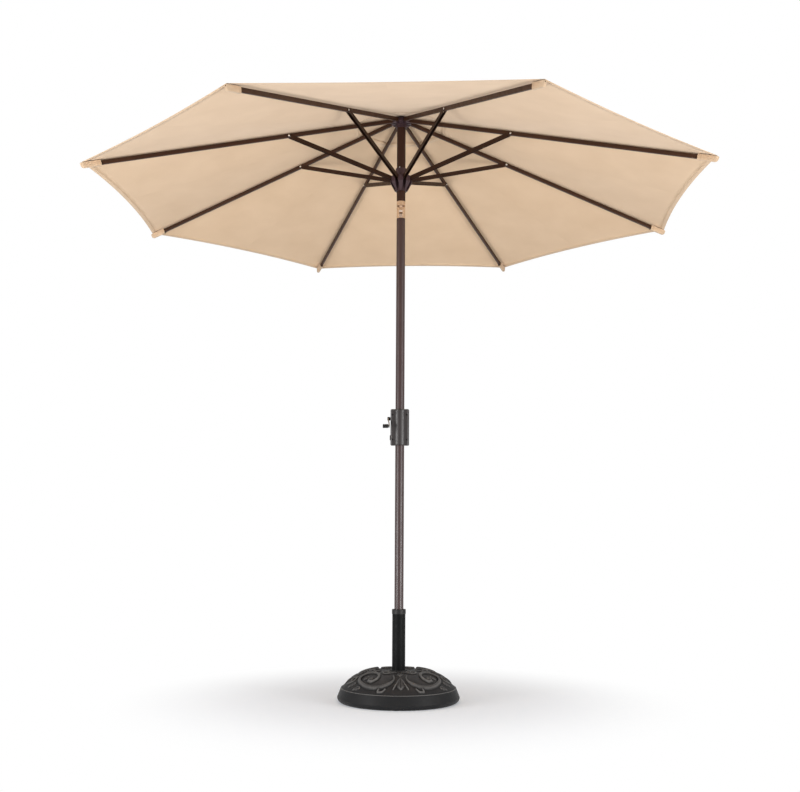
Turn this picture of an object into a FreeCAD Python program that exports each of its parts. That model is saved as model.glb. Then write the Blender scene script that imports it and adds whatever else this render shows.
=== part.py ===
"""Patio umbrella with base: an octagonal crank umbrella with a push-button tilt, in a weighted stand.

Millimetres, +Z up. The origin is on the floor, under the pole's axis. The front, where the crank
housing's screws and the tilt button are, faces -Y, and the crank is on the -X side. The ribs stand at
half a rib spacing from the X and Y axes.
"""

import FreeCAD, Part
import os
import re
import Sketcher
from FreeCAD import Placement, Rotation, Vector

# Driving dimensions: alias, value, meaning. Lengths in millimetres, angles in degrees.
SIZES = [
    # fits
    ("seat_gap", 0.3, "gap between pieces that seat in or against each other"),
    ("running_gap", 0.05, "radial gap of a moving hole on its pin"),
    ("fixed_gap", 0.02, "radial gap of a fixed pin in its hole"),
    ("pole_seat_gap", 0.2, "radial gap of a fixed piece round the pole"),
    ("side_play", 0.5, "gap on each side of a rib or strut in its slot"),
    ("split_gap", 0.2, "gap between the two shells of the crank housing"),
    # pole
    ("pole_od", 38.0, "outside diameter of both pole tubes"),
    ("pole_wall", 1.5, "wall of both pole tubes"),
    ("foot_plug_flange", 3.0, "thickness of the foot plug's flange"),
    ("foot_plug_length", 18.0, "length of the foot plug inside the pole"),
    ("knuckle_drop", 37.0, "top end of the lower pole below the tilt pin"),
    ("upper_pole_rise", 40.0, "bottom end of the upper pole above the tilt pin"),
    # tilt knuckle
    ("tilt_height", 2096.0, "height of the tilt pin"),
    ("tilt_pin_od", 8.0, "diameter of the tilt pin"),
    ("tongue_width", 13.4, "width of the tilt tongue and of the button"),
    ("fork_slot_play", 0.3, "gap on each side of the tongue in the fork"),
    ("tongue_radius", 15.0, "radius of the tongue's end round the pin"),
    ("tongue_swing_gap", 1.0, "gap under the tongue's end"),
    ("knuckle_plug_length", 46.0, "length of each knuckle plug inside its pole"),
    ("knuckle_shoulder", 0.5, "gap between the fork's round top and the tongue's collar"),
    ("button_drop", 34.5, "lower edge of the push button below the tilt pin"),
    ("button_length", 15.5, "height of the push button"),
    ("button_proud", 2.2, "how far the button stands out of the knuckle"),
    ("button_depth", 13.0, "depth of the push button"),
    ("button_corner", 4.0, "corner radius of the push button"),
    ("spring_length", 12.0, "length of the button's spring"),
    ("spring_radius", 3.6, "mean radius of the button's spring"),
    ("spring_wire_radius", 0.45, "radius of the spring's wire"),
    ("spring_turns", 4.0, "turns of the button's spring"),
    # rib linkage
    ("rib_count", 8, "number of ribs, struts and canopy panels"),
    ("rib_slope", 15.64, "slope of the ribs and the struts when open"),
    ("head_rise", 406.0, "height of the ribs' hinge pins above the tilt pin"),
    ("hinge_radius", 33.0, "distance of the hub's and the runner's pins from the axis"),
    ("hinge_pin_od", 4.0, "diameter of the hinge pins and the strut rivets"),
    ("pin_bite", 4.5, "length of a hinge pin's end in the cheek beside its slot"),
    ("link_length", 496.0, "from a rib's hinge to its strut's rivet, and the strut's own length"),
    ("rib_depth", 18.0, "depth of a rib's tube"),
    ("rib_width", 10.5, "width of a rib's tube"),
    ("rib_wall", 0.8, "wall of a rib's tube"),
    ("rib_corner", 2.4, "outside corner radius of a rib's tube"),
    ("rib_solid_end", 22.0, "length of a rib's solid inner end"),
    ("rib_tip_setback", 12.0, "how far a rib's tube ends short of the canopy's tip, along the rib"),
    ("tip_plug_flange", 6.0, "length of the rounded plug that closes a rib's outer end"),
    ("tip_plug_length", 16.0, "length of that plug inside the rib"),
    ("strut_depth", 16.0, "depth of a strut's channel"),
    ("strut_width", 14.0, "width of a strut's channel"),
    ("strut_wall", 1.2, "wall of a strut's channel"),
    ("strut_web_setback", 34.0, "how far a strut's web stops short of its rivet"),
    ("rivet_head_radius", 4.2, "radius of a strut rivet's head"),
    ("rivet_head_height", 1.8, "height of a strut rivet's head"),
    # top hub
    ("hub_rim", 11.0, "rim of the hub beyond its pins"),
    ("hub_above", 9.0, "top of the hub's rim above its pins"),
    ("hub_below", 13.0, "bottom of the hub's rim below its pins"),
    ("hub_neck", 30.0, "bottom of the hub's neck below its pins"),
    ("hub_bevel", 2.0, "bevel round the hub's rim"),
    ("pole_into_hub", 5.0, "top end of the upper pole above the hub's pins"),
    ("pulley_drop", 15.0, "axle of the cord pulley below the hub's pins"),
    ("pulley_radius", 12.0, "radius of the cord pulley"),
    ("pulley_groove_depth", 2.6, "depth of the pulley's groove"),
    ("pulley_thickness", 8.0, "thickness of the cord pulley"),
    # runner
    ("runner_rim", 15.0, "rim of the runner's collar beyond its pins"),
    ("runner_core_gap", 0.8, "gap between a strut's end and the floor of its slot"),
    ("runner_above", 13.0, "top of the runner's collar above its pins"),
    ("runner_below", 14.0, "bottom of the runner's collar below its pins"),
    ("runner_neck", 50.0, "top of the runner's neck above its pins"),
    ("runner_foot", 52.0, "bottom of the runner below its pins"),
    ("runner_foot_wall", 7.5, "thickness of the runner's fins at the bottom"),
    ("runner_slide_gap", 0.5, "radial gap of the runner on the pole"),
    ("runner_keyway_gap", 0.8, "gap of the runner's groove round the tilt button"),
    ("stop_rivet_radius", 2.6, "radius of the rivet that stops the runner"),
    ("stop_rivet_proud", 3.0, "how far the stop rivet stands out of the pole"),
    ("stop_rivet_gap", 0.5, "gap between the runner's top and the stop rivet"),
    ("stop_rivet_azimuth", -108.0, "direction of the stop rivet round the pole"),
    # canopy
    ("canopy_radius", 1350.0, "radius of the canopy at its tips"),
    ("fabric_thickness", 1.0, "thickness of the canopy's solids"),
    ("fabric_clearance", 1.0, "gap of the fabric over the ribs"),
    ("hem_scallop", 24.0, "how far the hem curves in between two tips"),
    ("vent_hole_radius", 195.0, "radius of the vent hole at the ribs"),
    ("vent_radius", 300.0, "radius of the vent cap at the ribs"),
    ("vent_inner", 12.0, "inner edge of the vent cap, under the finial"),
    ("vent_rise", 4.0, "height of the vent cap over the main canopy"),
    ("vent_scallop", 6.0, "how far the vent cap's hem curves in between two ribs"),
    ("panel_gap", 0.15, "gap on each side between neighbouring panels"),
    # finial
    ("stud_radius", 4.0, "radius of the finial's stud"),
    ("finial_flange_radius", 24.0, "radius of the finial's flange"),
    ("finial_flange_edge", 2.5, "thickness of the flange's edge"),
    ("finial_neck_radius", 8.0, "radius of the finial's neck"),
    ("finial_neck_height", 13.0, "height of the finial's neck above its flange"),
    ("finial_ball_radius", 17.0, "radius of the finial's ball"),
    # crank housing
    ("housing_below", 115.0, "lower end of the crank housing below the crank's axis"),
    ("housing_above", 40.0, "upper end of the crank housing above the crank's axis"),
    ("housing_wing_depth", 17.0, "half of the depth of the housing's wings"),
    ("housing_wing_corner", 8.0, "corner radius of the housing's wings"),
    ("housing_barrel_wall", 7.8, "wall of the housing's middle barrel"),
    ("housing_bevel", 3.0, "bevel at the housing's ends"),
    ("housing_screw_offset", 11.0, "distance of the housing's screws from the pole"),
    ("housing_screw_edge", 9.5, "distance of the housing's screws from its sides"),
    ("housing_screw_inset", 24.0, "distance of the housing's screws from its ends"),
    ("screw_radius", 1.75, "radius of the housing screws"),
    ("screw_head_radius", 3.0, "radius of the housing screws' heads"),
    ("screw_head_height", 2.0, "height of the housing screws' heads"),
    ("screw_sink", 5.0, "depth of the screw recesses"),
    ("screw_into_rear", 11.0, "length of each screw in the rear shell"),
    ("lug_drop", 94.0, "lower edge of the lug on the housing's side below the crank's axis"),
    ("lug_length", 24.0, "length of that lug"),
    ("lug_proud", 3.0, "how far the lug stands out of the housing"),
    ("lug_depth", 7.0, "depth of the lug"),
    # crank
    ("crank_height", 1178.0, "height of the crank's axis"),
    ("crank_shaft_od", 8.0, "diameter of the crank's shaft"),
    ("spool_core_radius", 8.0, "radius of the cord spool's core"),
    ("spool_flange_radius", 12.6, "radius of the cord spool's flanges"),
    ("spool_half_width", 10.5, "half of the cord spool's width"),
    ("spool_flange", 2.0, "thickness of each spool flange"),
    ("crank_hub_radius", 7.5, "radius of the crank arm's hub"),
    ("crank_hub_gap", 1.5, "gap between the housing and the crank arm's hub"),
    ("crank_hub_length", 12.0, "length of the crank arm's hub"),
    ("crank_arm_length", 60.0, "from the crank's axis to the grip's axis"),
    ("crank_arm_thickness", 4.0, "thickness of the crank's arm"),
    ("crank_arm_width", 11.0, "width of the crank's arm"),
    ("crank_arm_overhang", 6.5, "length of the arm past the grip's axis"),
    ("crank_rest_angle", 53.0, "angle of the arm forward from hanging straight down"),
    ("grip_pin_od", 5.0, "diameter of the grip's pin"),
    ("grip_radius", 8.5, "radius of the grip"),
    ("grip_length", 24.7, "length of the grip"),
    ("grip_groove_depth", 0.9, "depth of the grip's grooves"),
    ("grip_groove_width", 1.8, "width of the grip's grooves"),
    ("grip_grooves", 4, "number of the grip's grooves"),
    ("grip_pin_head_radius", 4.2, "radius of the grip pin's head"),
    ("grip_pin_head_height", 2.0, "height of the grip pin's head"),
    # stem of the base
    ("stem_od", 55.0, "outside diameter of the stem"),
    ("stem_wall", 2.5, "wall of the stem"),
    ("stem_height", 373.0, "top edge of the stem"),
    ("stem_floor", 30.0, "underside of the stem's welded floor"),
    ("stem_floor_plate", 4.7, "thickness of the stem's welded floor"),
    ("bush_flange", 3.5, "thickness of the bush's flange on the stem"),
    ("bush_skirt_length", 19.0, "length of the bush's skirt outside the stem"),
    ("bush_skirt_wall", 1.3, "wall of that skirt"),
    ("bush_length", 31.0, "length of the bush inside the stem"),
    ("bush_bevel", 1.5, "bevel round the bush's top"),
    ("clamp_drop", 51.0, "clamp screw below the stem's top edge"),
    ("clamp_boss_radius", 9.0, "radius of the nut welded to the stem"),
    ("clamp_boss_proud", 8.5, "how far that nut stands out of the stem"),
    ("clamp_stud_od", 8.0, "diameter of the clamp screw"),
    ("stud_in_knob", 15.0, "length of the clamp screw inside its knob"),
    ("knob_radius", 21.0, "radius of the clamp knob"),
    ("knob_gap", 1.0, "gap between the welded nut and the clamp knob"),
    ("knob_thickness", 21.0, "thickness of the clamp knob"),
    ("knob_lobes", 6, "number of finger hollows round the knob"),
    ("knob_hollow_radius", 6.0, "radius of each finger hollow"),
    ("knob_edge", 2.0, "bevel of the knob's outer edge"),
    # base
    ("base_foot_inset", 15.0, "edge of the base's underside inside its widest point"),
    ("base_radius", 254.0, "largest radius of the base"),
    ("base_widest_height", 20.0, "height of the base's widest point"),
    ("base_clearance", 1.0, "height of the base's underside over the floor"),
    ("rim_inset", 15.0, "rim band's top edge inside the base's widest point"),
    ("rim_top_height", 58.0, "height of the rim band's top edge"),
    ("rim_bead", 4.0, "width of the flat bead round the rim band's top"),
    ("dome_top_radius", 80.0, "radius at which the dome becomes flat"),
    ("dome_height", 125.0, "height of the dome's top"),
    ("dome_curve", 205.0, "radius of the dome's profile"),
    ("collar_width", 8.2, "width of the ring round the stem's foot"),
    ("collar_height", 4.0, "height of that ring over the dome"),
    ("base_boss_radius", 66.0, "radius of the solid boss in the middle of the base"),
    ("base_wall", 22.0, "thickness of the base's shell"),
    ("web_thickness", 12.0, "thickness of the webs under the base"),
    ("web_count", 6, "number of webs under the base"),
    ("bolt_od", 10.0, "diameter of the stem's bolt"),
    ("bolt_head_radius", 8.5, "radius of the bolt's head across its corners"),
    ("bolt_head_height", 6.5, "height of the bolt's head"),
    ("bolt_head_seat", 14.0, "height of the bolt head's seat in the base"),
    ("bolt_well_gap", 4.5, "gap round the bolt's head in its well"),
    ("bolt_length", 20.0, "length of the bolt over its seat"),
    ("foot_pad_radius", 9.0, "radius of the rubber pads"),
    ("foot_pad_sink", 3.0, "how deep the pads sit in the base"),
    ("foot_pad_inset", 11.0, "middle of the pads inside the edge of the base's underside"),
    ("foot_pad_count", 6, "number of rubber pads"),
]

# Names for what the sizes give together. A later one may use an earlier one.
WORKED_OUT = [
    # base
    ("base_foot_radius", "base_radius - base_foot_inset"),
    ("rim_top_radius", "base_radius - rim_inset"),
    ("foot_pad_circle", "base_foot_radius - foot_pad_inset"),
    ("bolt_well_radius", "bolt_head_radius + bolt_well_gap"),
    ("stem_r", "stem_od / 2"),
    ("stem_bore", "stem_r - stem_wall"),
    ("stem_socket", "stem_r + seat_gap"),
    ("collar_radius", "stem_socket + collar_width"),
    ("clamp_height", "stem_height - clamp_drop"),
    ("clamp_boss_reach", "stem_r + clamp_boss_proud"),
    ("knob_inner", "clamp_boss_reach + knob_gap"),
    ("knob_outer", "knob_inner + knob_thickness"),
    ("clamp_stud_reach", "knob_inner + stud_in_knob"),
    # pole and tilt knuckle
    ("pole_r", "pole_od / 2"),
    ("pole_bore", "pole_r - pole_wall"),
    ("plug_r", "pole_bore - seat_gap"),
    ("pole_foot_height", "stem_floor + stem_floor_plate + seat_gap"),
    ("knuckle_height", "tilt_height - knuckle_drop"),
    ("upper_pole_height", "tilt_height + upper_pole_rise"),
    ("fork_slot", "tongue_width + 2 * fork_slot_play"),
    ("tongue_slot_floor", "tilt_height - tongue_radius - tongue_swing_gap"),
    ("collar_bottom", "tilt_height + pole_r + knuckle_shoulder"),
    ("button_bottom", "tilt_height - button_drop"),
    ("button_back", "button_depth - button_proud - pole_r"),
    # crank and its housing
    ("housing_bottom", "crank_height - housing_below"),
    ("housing_top", "crank_height + housing_above"),
    ("housing_bore", "pole_r + pole_seat_gap"),
    ("housing_barrel_radius", "housing_bore + housing_barrel_wall"),
    ("housing_screw_x", "pole_r + housing_screw_offset"),
    ("housing_half_width", "housing_screw_x + housing_screw_edge"),
    ("lug_bottom", "crank_height - lug_drop"),
    ("lug_top", "lug_bottom + lug_length"),
    ("crank_hub_inner", "housing_half_width + crank_hub_gap"),
    ("crank_hub_outer", "crank_hub_inner + crank_hub_length"),
    ("grip_inner", "crank_hub_inner + crank_arm_thickness + seat_gap"),
    ("grip_outer", "grip_inner + grip_length"),
    # head
    ("half_spacing", "180 / rib_count"),
    ("hinge_height", "tilt_height + head_rise"),
    ("hub_radius", "hinge_radius + hub_rim"),
    ("hub_core", "hinge_radius - rib_depth / 2 - seat_gap"),
    ("strut_slot", "strut_width + 2 * side_play"),
    ("hinge_pin_length", "strut_slot + 2 * pin_bite"),
    ("rib_length", "(canopy_radius - hinge_radius) / cos(rib_slope)"),
    ("rivet_radius", "hinge_radius + link_length * cos(rib_slope)"),
    ("rivet_height", "hinge_height - link_length * sin(rib_slope)"),
    ("runner_height", "hinge_height - 2 * link_length * sin(rib_slope)"),
    ("runner_radius", "hinge_radius + runner_rim"),
    ("runner_core", "hinge_radius - strut_depth / 2 - runner_core_gap"),
    ("runner_bore", "pole_r + runner_slide_gap"),
    ("runner_foot_radius", "runner_bore + runner_foot_wall"),
    # canopy
    ("gore_steepness", "tan(rib_slope) / cos(half_spacing)"),
    ("fabric_offset", "(rib_depth / 2 + fabric_clearance) / cos(rib_slope)"),
    ("canopy_apex", "hinge_height + hinge_radius * tan(rib_slope) + fabric_offset"),
    ("vent_apex", "canopy_apex + vent_rise"),
]

DOC = FreeCAD.newDocument("patio_umbrella")
BOOK = DOC.addObject("Spreadsheet::Sheet", "Sizes")
for row, (alias, value, meaning) in enumerate(SIZES, start=1):
    BOOK.set(f"A{row}", meaning)
    BOOK.set(f"B{row}", str(value))
    BOOK.setAlias(f"B{row}", alias)
DOC.recompute()

PARTS = []
CUTS = []
UP = Vector(0, 0, 1)
SIDE = Vector(0, 1, 0)


def any_of(names):
    """A pattern for whole names, as they stand in an expression."""
    return re.compile("(?<![a-z_.])(" + "|".join(names) + ")(?![a-z_])")


SIZE_NAME = any_of(alias for alias, _, _ in SIZES)
WORKED_OUT_NAME = any_of(name for name, _ in WORKED_OUT)


def spelled_out(expression):
    """An expression in the sheet's own names only."""
    meanings = dict(WORKED_OUT)
    text = str(expression)
    while WORKED_OUT_NAME.search(text):
        text = WORKED_OUT_NAME.sub(lambda found: f"({meanings[found[1]]})", text)
    return text


def size(expression):
    """The number that an expression stands for."""
    return float(BOOK.evalExpression(spelled_out(expression)))


def tie(thing, prop, expression):
    """Binds a property to the sheet."""
    thing.setExpression(prop, SIZE_NAME.sub(r"Sizes.\1", spelled_out(expression)))


# Sketches and features


def new_body(name):
    return DOC.addObject("PartDesign::Body", name)


def sketch(body, role, offset="0"):
    """An empty sketch on one of the body's own planes, moved along the plane's normal."""
    made = body.newObject("Sketcher::SketchObject", "Sketch")
    plane = next(o for o in body.Origin.OriginFeatures if o.Role == role)
    made.AttachmentSupport = [(plane, "")]
    made.MapMode = "FlatFace"
    tie(made, "AttachmentOffset.Base.z", offset)
    return made


def fix(drawn, geometry, point, x, y):
    """Ties one point of a sketch's geometry to its place."""
    for kind, axis, value in (("DistanceX", -2, x), ("DistanceY", -1, y)):
        if value == "0":
            drawn.addConstraint(Sketcher.Constraint("PointOnObject", geometry, point, axis))
        else:
            held = drawn.addConstraint(Sketcher.Constraint(kind, geometry, point, size(value)))
            tie(drawn, f"Constraints[{held}]", value)


def arc_between(start, end, radius, side):
    """The shorter arc between two points, its middle to the left of the way (side 1) or the right (-1).
    It is drawn counter-clockwise, so it starts at the way's end on side 1."""
    along = end - start
    across = Vector(-along.y, along.x, 0).normalize() * side
    sagging = max(0, radius**2 - (along.Length / 2) ** 2) ** 0.5
    round_it = Part.Circle((start + end) / 2 - across * sagging, UP, radius)
    first, last = (start, end) if side < 0 else (end, start)
    return Part.ArcOfCircle(round_it, round_it.parameter(first), round_it.parameter(last))


def outline(drawn, corners, bends=()):
    """A closed outline. corners are (x, y) expressions; bends holds (index, radius, side) for each
    stretch after corner index that is an arc: side 1 bulges to the left of the way, -1 to the right."""
    points = [Vector(size(x), size(y), 0) for x, y in corners]
    curved = {index: (radius, side) for index, radius, side in bends}
    made = []
    for index, start in enumerate(points):
        end = points[(index + 1) % len(points)]
        if index in curved:
            radius, side = curved[index]
            geometry = drawn.addGeometry(arc_between(start, end, size(radius), side))
            first, last = (1, 2) if side < 0 else (2, 1)
            held = drawn.addConstraint(Sketcher.Constraint("Radius", geometry, size(radius)))
            tie(drawn, f"Constraints[{held}]", radius)
        else:
            geometry = drawn.addGeometry(Part.LineSegment(start, end))
            first, last = 1, 2
        made.append((geometry, first, last))
    for index, (geometry, first, last) in enumerate(made):
        following, next_first, _ = made[(index + 1) % len(made)]
        drawn.addConstraint(Sketcher.Constraint("Coincident", geometry, last, following, next_first))
        fix(drawn, geometry, first, *corners[index])
    return drawn


def circle(drawn, x, y, radius):
    geometry = drawn.addGeometry(Part.Circle(Vector(size(x), size(y), 0), UP, size(radius)))
    held = drawn.addConstraint(Sketcher.Constraint("Radius", geometry, size(radius)))
    tie(drawn, f"Constraints[{held}]", radius)
    fix(drawn, geometry, 3, x, y)
    return drawn


def rectangle(drawn, left, right, bottom, top):
    return outline(drawn, [(left, bottom), (right, bottom), (right, top), (left, top)])


def add(body, kind, drawn, **settings):
    """A feature of the body on a sketch; text settings of length or angle are tied to the sheet."""
    made = body.newObject("PartDesign::" + kind, kind)
    made.Profile = drawn
    for prop, value in settings.items():
        if prop in ("Length", "Angle"):
            tie(made, prop, value)
        else:
            setattr(made, prop, value)
    if kind in ("Pocket", "Groove"):
        CUTS.append(made)
    return made


def pad(body, drawn, length, **settings):
    return add(body, "Pad", drawn, Length=length, **settings)


def bar(body, drawn, length):
    """A pad to both sides of its sketch."""
    return pad(body, drawn, length, SideType="Symmetric")


def cut(body, drawn, length, **settings):
    return add(body, "Pocket", drawn, Length=length, **settings)


def cut_both_ways(body, drawn, length):
    return cut(body, drawn, length, SideType="Symmetric")


def turned(body, drawn, axis="V_Axis"):
    return add(body, "Revolution", drawn, ReferenceAxis=(drawn, [axis]), Angle="360")


def around(body, features, drawn, count):
    """Repeats features about the normal axis of a sketch at the body's origin."""
    pattern = body.newObject("PartDesign::PolarPattern", "PolarPattern")
    pattern.Originals = features
    pattern.Axis = (drawn, ["N_Axis"])
    pattern.Angle = 360
    tie(pattern, "Occurrences", count)
    body.Tip = pattern
    return pattern


def edged(body, kind, amount, wanted):
    """Fillets or chamfers the edges of the body for which wanted(edge) is true."""
    DOC.recompute()
    base = body.Tip
    names = [f"Edge{i}" for i, edge in enumerate(base.Shape.Edges, start=1) if wanted(edge)]
    made = body.newObject("PartDesign::" + kind, kind)
    made.Base = (base, names)
    tie(made, "Radius" if kind == "Fillet" else "Size", amount)
    return made


def cylinder(name, radius, length, place):
    """A Part cylinder along its own +Z, at a placement."""
    made = DOC.addObject("Part::Cylinder", name)
    tie(made, "Radius", radius)
    tie(made, "Height", length)
    made.Placement = place
    return made


def compound(name, pieces):
    """Several separate solids as one sub-part."""
    made = DOC.addObject("Part::Compound", name)
    made.Links = pieces
    return made


def part(thing):
    """Lists an object as a sub-part; its label names its file."""
    PARTS.append(thing)
    return thing


# Placements


def at(x=0, y=0, z=0, rotation=None):
    return Placement(Vector(size(x), size(y), size(z)), rotation or Rotation())


def turn(degrees, axis=UP):
    return Placement(Vector(), Rotation(axis, size(degrees)))


def rib_azimuth(index):
    return f"(2 * {index} - 1) * half_spacing"


def along_x(x, y, z):
    """Where a Part cylinder starts at a point and runs to +X."""
    return at(x, y, z, Rotation(SIDE, 90))


def dome_radius(radius, height):
    """The radius of the sphere that a domed head of a given radius and height is cut from."""
    return f"(({radius}) ^ 2 + ({height}) ^ 2) / (2 * ({height}))"


# The base


def base_weight():
    body = new_body("base_weight")
    shell = outline(
        sketch(body, "XZ_Plane"),
        [
            ("bolt_od / 2 + seat_gap", "bolt_head_seat"),
            ("bolt_well_radius", "bolt_head_seat"),
            ("bolt_well_radius", "base_clearance"),
            ("base_foot_radius", "base_clearance"),
            ("base_radius", "base_widest_height"),
            ("rim_top_radius", "rim_top_height"),
            ("rim_top_radius - rim_bead", "rim_top_height"),
            ("dome_top_radius", "dome_height"),
            ("collar_radius", "dome_height"),
            ("collar_radius", "dome_height + collar_height"),
            ("stem_socket", "dome_height + collar_height"),
            ("stem_socket", "stem_floor"),
            ("bolt_od / 2 + seat_gap", "stem_floor"),
        ],
        bends=[(3, "base_widest_height", -1), (6, "dome_curve", -1)],
    )
    turned(body, shell)
    hollow = outline(
        sketch(body, "XZ_Plane"),
        [
            ("base_boss_radius", "0"),
            ("base_foot_radius - base_wall", "0"),
            ("rim_top_radius - base_wall", "rim_top_height - base_wall"),
            ("dome_top_radius + base_wall", "dome_height - base_wall - rim_bead"),
            ("base_boss_radius", "dome_height - base_wall"),
        ],
    )
    add(body, "Groove", hollow, ReferenceAxis=(hollow, ["V_Axis"]), Angle="360")
    web = outline(
        sketch(body, "XZ_Plane"),
        [
            ("base_boss_radius - base_wall / 4", "base_clearance"),
            ("base_foot_radius - base_wall / 2", "base_clearance"),
            ("rim_top_radius - base_wall * 3 / 4", "rim_top_height - base_wall * 3 / 4"),
            ("dome_top_radius + base_wall", "dome_height - base_wall / 2 - rim_bead * 2"),
            ("base_boss_radius - base_wall / 4", "dome_height - base_wall / 2"),
        ],
    )
    first = bar(body, web, "web_thickness")
    centre = sketch(body, "XY_Plane", "foot_pad_sink + base_clearance")
    around(body, [first], centre, "web_count")
    pads = sketch(body, "XY_Plane", "foot_pad_sink + base_clearance")
    circle(pads, "foot_pad_circle * cos(180 / foot_pad_count)",
           "foot_pad_circle * sin(180 / foot_pad_count)", "foot_pad_radius + seat_gap")
    first = cut(body, pads, "foot_pad_sink + base_clearance")
    around(body, [first], centre, "foot_pad_count")
    return part(body)


def base_feet():
    pads = []
    for index in range(int(size("foot_pad_count"))):
        place = turn(f"({2 * index} + 1) * 180 / foot_pad_count") * at("foot_pad_circle")
        pads.append(cylinder("foot_pad", "foot_pad_radius", "foot_pad_sink + base_clearance", place))
    return part(compound("base_feet", pads))


def stem_tube():
    body = new_body("stem_tube")
    wall = outline(
        sketch(body, "XZ_Plane"),
        [
            ("bolt_od / 2 + fixed_gap", "stem_floor"),
            ("stem_r", "stem_floor"),
            ("stem_r", "stem_height"),
            ("stem_bore", "stem_height"),
            ("stem_bore", "stem_floor + stem_floor_plate"),
            ("bolt_od / 2 + fixed_gap", "stem_floor + stem_floor_plate"),
        ],
    )
    turned(body, wall)
    inside_wall = "(stem_od / 2 - stem_wall / 2)"
    boss = circle(sketch(body, "XZ_Plane", f"-{inside_wall}"), "0", "clamp_height", "clamp_boss_radius")
    pad(body, boss, f"clamp_boss_reach - {inside_wall}", Reversed=True)
    hole = circle(sketch(body, "XZ_Plane"), "0", "clamp_height", "clamp_stud_od / 2 + running_gap")
    cut(body, hole, "clamp_boss_reach + stem_wall")
    return part(body)


def stem_bolt():
    body = new_body("stem_bolt")
    seat = "bolt_head_seat"
    head = outline(
        sketch(body, "XY_Plane", f"{seat} - bolt_head_height"),
        [(f"bolt_head_radius * cos({60 * k})", f"bolt_head_radius * sin({60 * k})" if k % 3 else "0")
         for k in range(6)],
    )
    pad(body, head, "bolt_head_height")
    shank = circle(sketch(body, "XY_Plane", seat), "0", "0", "bolt_od / 2")
    pad(body, shank, "bolt_length")
    return part(body)


def stem_bush():
    body = new_body("stem_bush")
    bore = "(pole_r + seat_gap)"
    skirt = "stem_socket"
    top = "(stem_height + bush_flange)"
    turned(body, outline(
        sketch(body, "XZ_Plane"),
        [
            (bore, "stem_height - bush_length"),
            ("stem_bore - seat_gap", "stem_height - bush_length"),
            ("stem_bore - seat_gap", "stem_height + seat_gap"),
            (skirt, "stem_height + seat_gap"),
            (skirt, f"{top} - bush_skirt_length"),
            (f"{skirt} + bush_skirt_wall", f"{top} - bush_skirt_length"),
            (f"{skirt} + bush_skirt_wall", f"{top} - bush_bevel"),
            (f"{skirt} + bush_skirt_wall - bush_bevel", top),
            (f"{bore} + bush_bevel", top),
            (bore, f"{top} - bush_bevel"),
        ],
    ))
    return part(body)


def clamp_stud():
    """The screw that pinches the pole, from just off the pole into its knob."""
    start = "(pole_r + seat_gap)"
    place = at(0, start, "clamp_height", Rotation(Vector(1, 0, 0), -90))
    return part(cylinder("clamp_stud", "clamp_stud_od / 2", f"clamp_stud_reach - {start}", place))


def clamp_knob():
    """A knob with finger hollows, made along its own +Z and laid along +Y."""
    body = new_body("clamp_knob")
    disc = circle(sketch(body, "XY_Plane", "knob_inner"), "0", "0", "knob_radius")
    pad(body, disc, "knob_outer - knob_inner")
    hollow = circle(sketch(body, "XY_Plane", "knob_outer"), "knob_radius + knob_hollow_radius / 2",
                    "0", "knob_hollow_radius")
    first = cut(body, hollow, "knob_outer - knob_inner")
    around(body, [first], disc, "knob_lobes")
    top = size("knob_outer")
    edged(body, "Chamfer", "knob_edge", lambda edge: edge.BoundBox.ZMin > top - 1e-3)
    hole = circle(sketch(body, "XY_Plane", "clamp_stud_reach"), "0", "0", "clamp_stud_od / 2 + fixed_gap")
    cut(body, hole, "clamp_stud_reach - knob_inner")
    body.Placement = at(0, 0, "clamp_height", Rotation(Vector(1, 0, 0), -90))
    return part(body)


# The pole


def tube(body, bottom, top):
    ring = circle(sketch(body, "XY_Plane", bottom), "0", "0", "pole_r")
    circle(ring, "0", "0", "pole_bore")
    return pad(body, ring, f"{top} - {bottom}")


def lower_pole():
    body = new_body("lower_pole")
    tube(body, "(pole_foot_height + foot_plug_flange)", "knuckle_height")
    holes = circle(sketch(body, "YZ_Plane"), "0", "crank_height", "crank_shaft_od / 2 + seat_gap")
    cut_both_ways(body, holes, "2 * pole_od")
    return part(body)


def upper_pole():
    body = new_body("upper_pole")
    tube(body, "upper_pole_height", "(hinge_height + pole_into_hub)")
    axle = circle(sketch(body, "YZ_Plane"), "0", "hinge_height - pulley_drop",
                  "hinge_pin_od / 2 + fixed_gap")
    cut_both_ways(body, axle, "2 * pole_od")
    return part(body)


def pole_foot_plug():
    body = new_body("pole_foot_plug")
    shoulder = "(pole_foot_height + foot_plug_flange)"
    turned(body, outline(
        sketch(body, "XZ_Plane"),
        [
            ("0", "pole_foot_height"),
            ("pole_r - foot_plug_flange / 2", "pole_foot_height"),
            ("pole_r", "pole_foot_height + foot_plug_flange / 2"),
            ("pole_r", shoulder),
            ("plug_r", shoulder),
            ("plug_r", f"{shoulder} + foot_plug_length"),
            ("0", f"{shoulder} + foot_plug_length"),
        ],
    ))
    return part(body)


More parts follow.
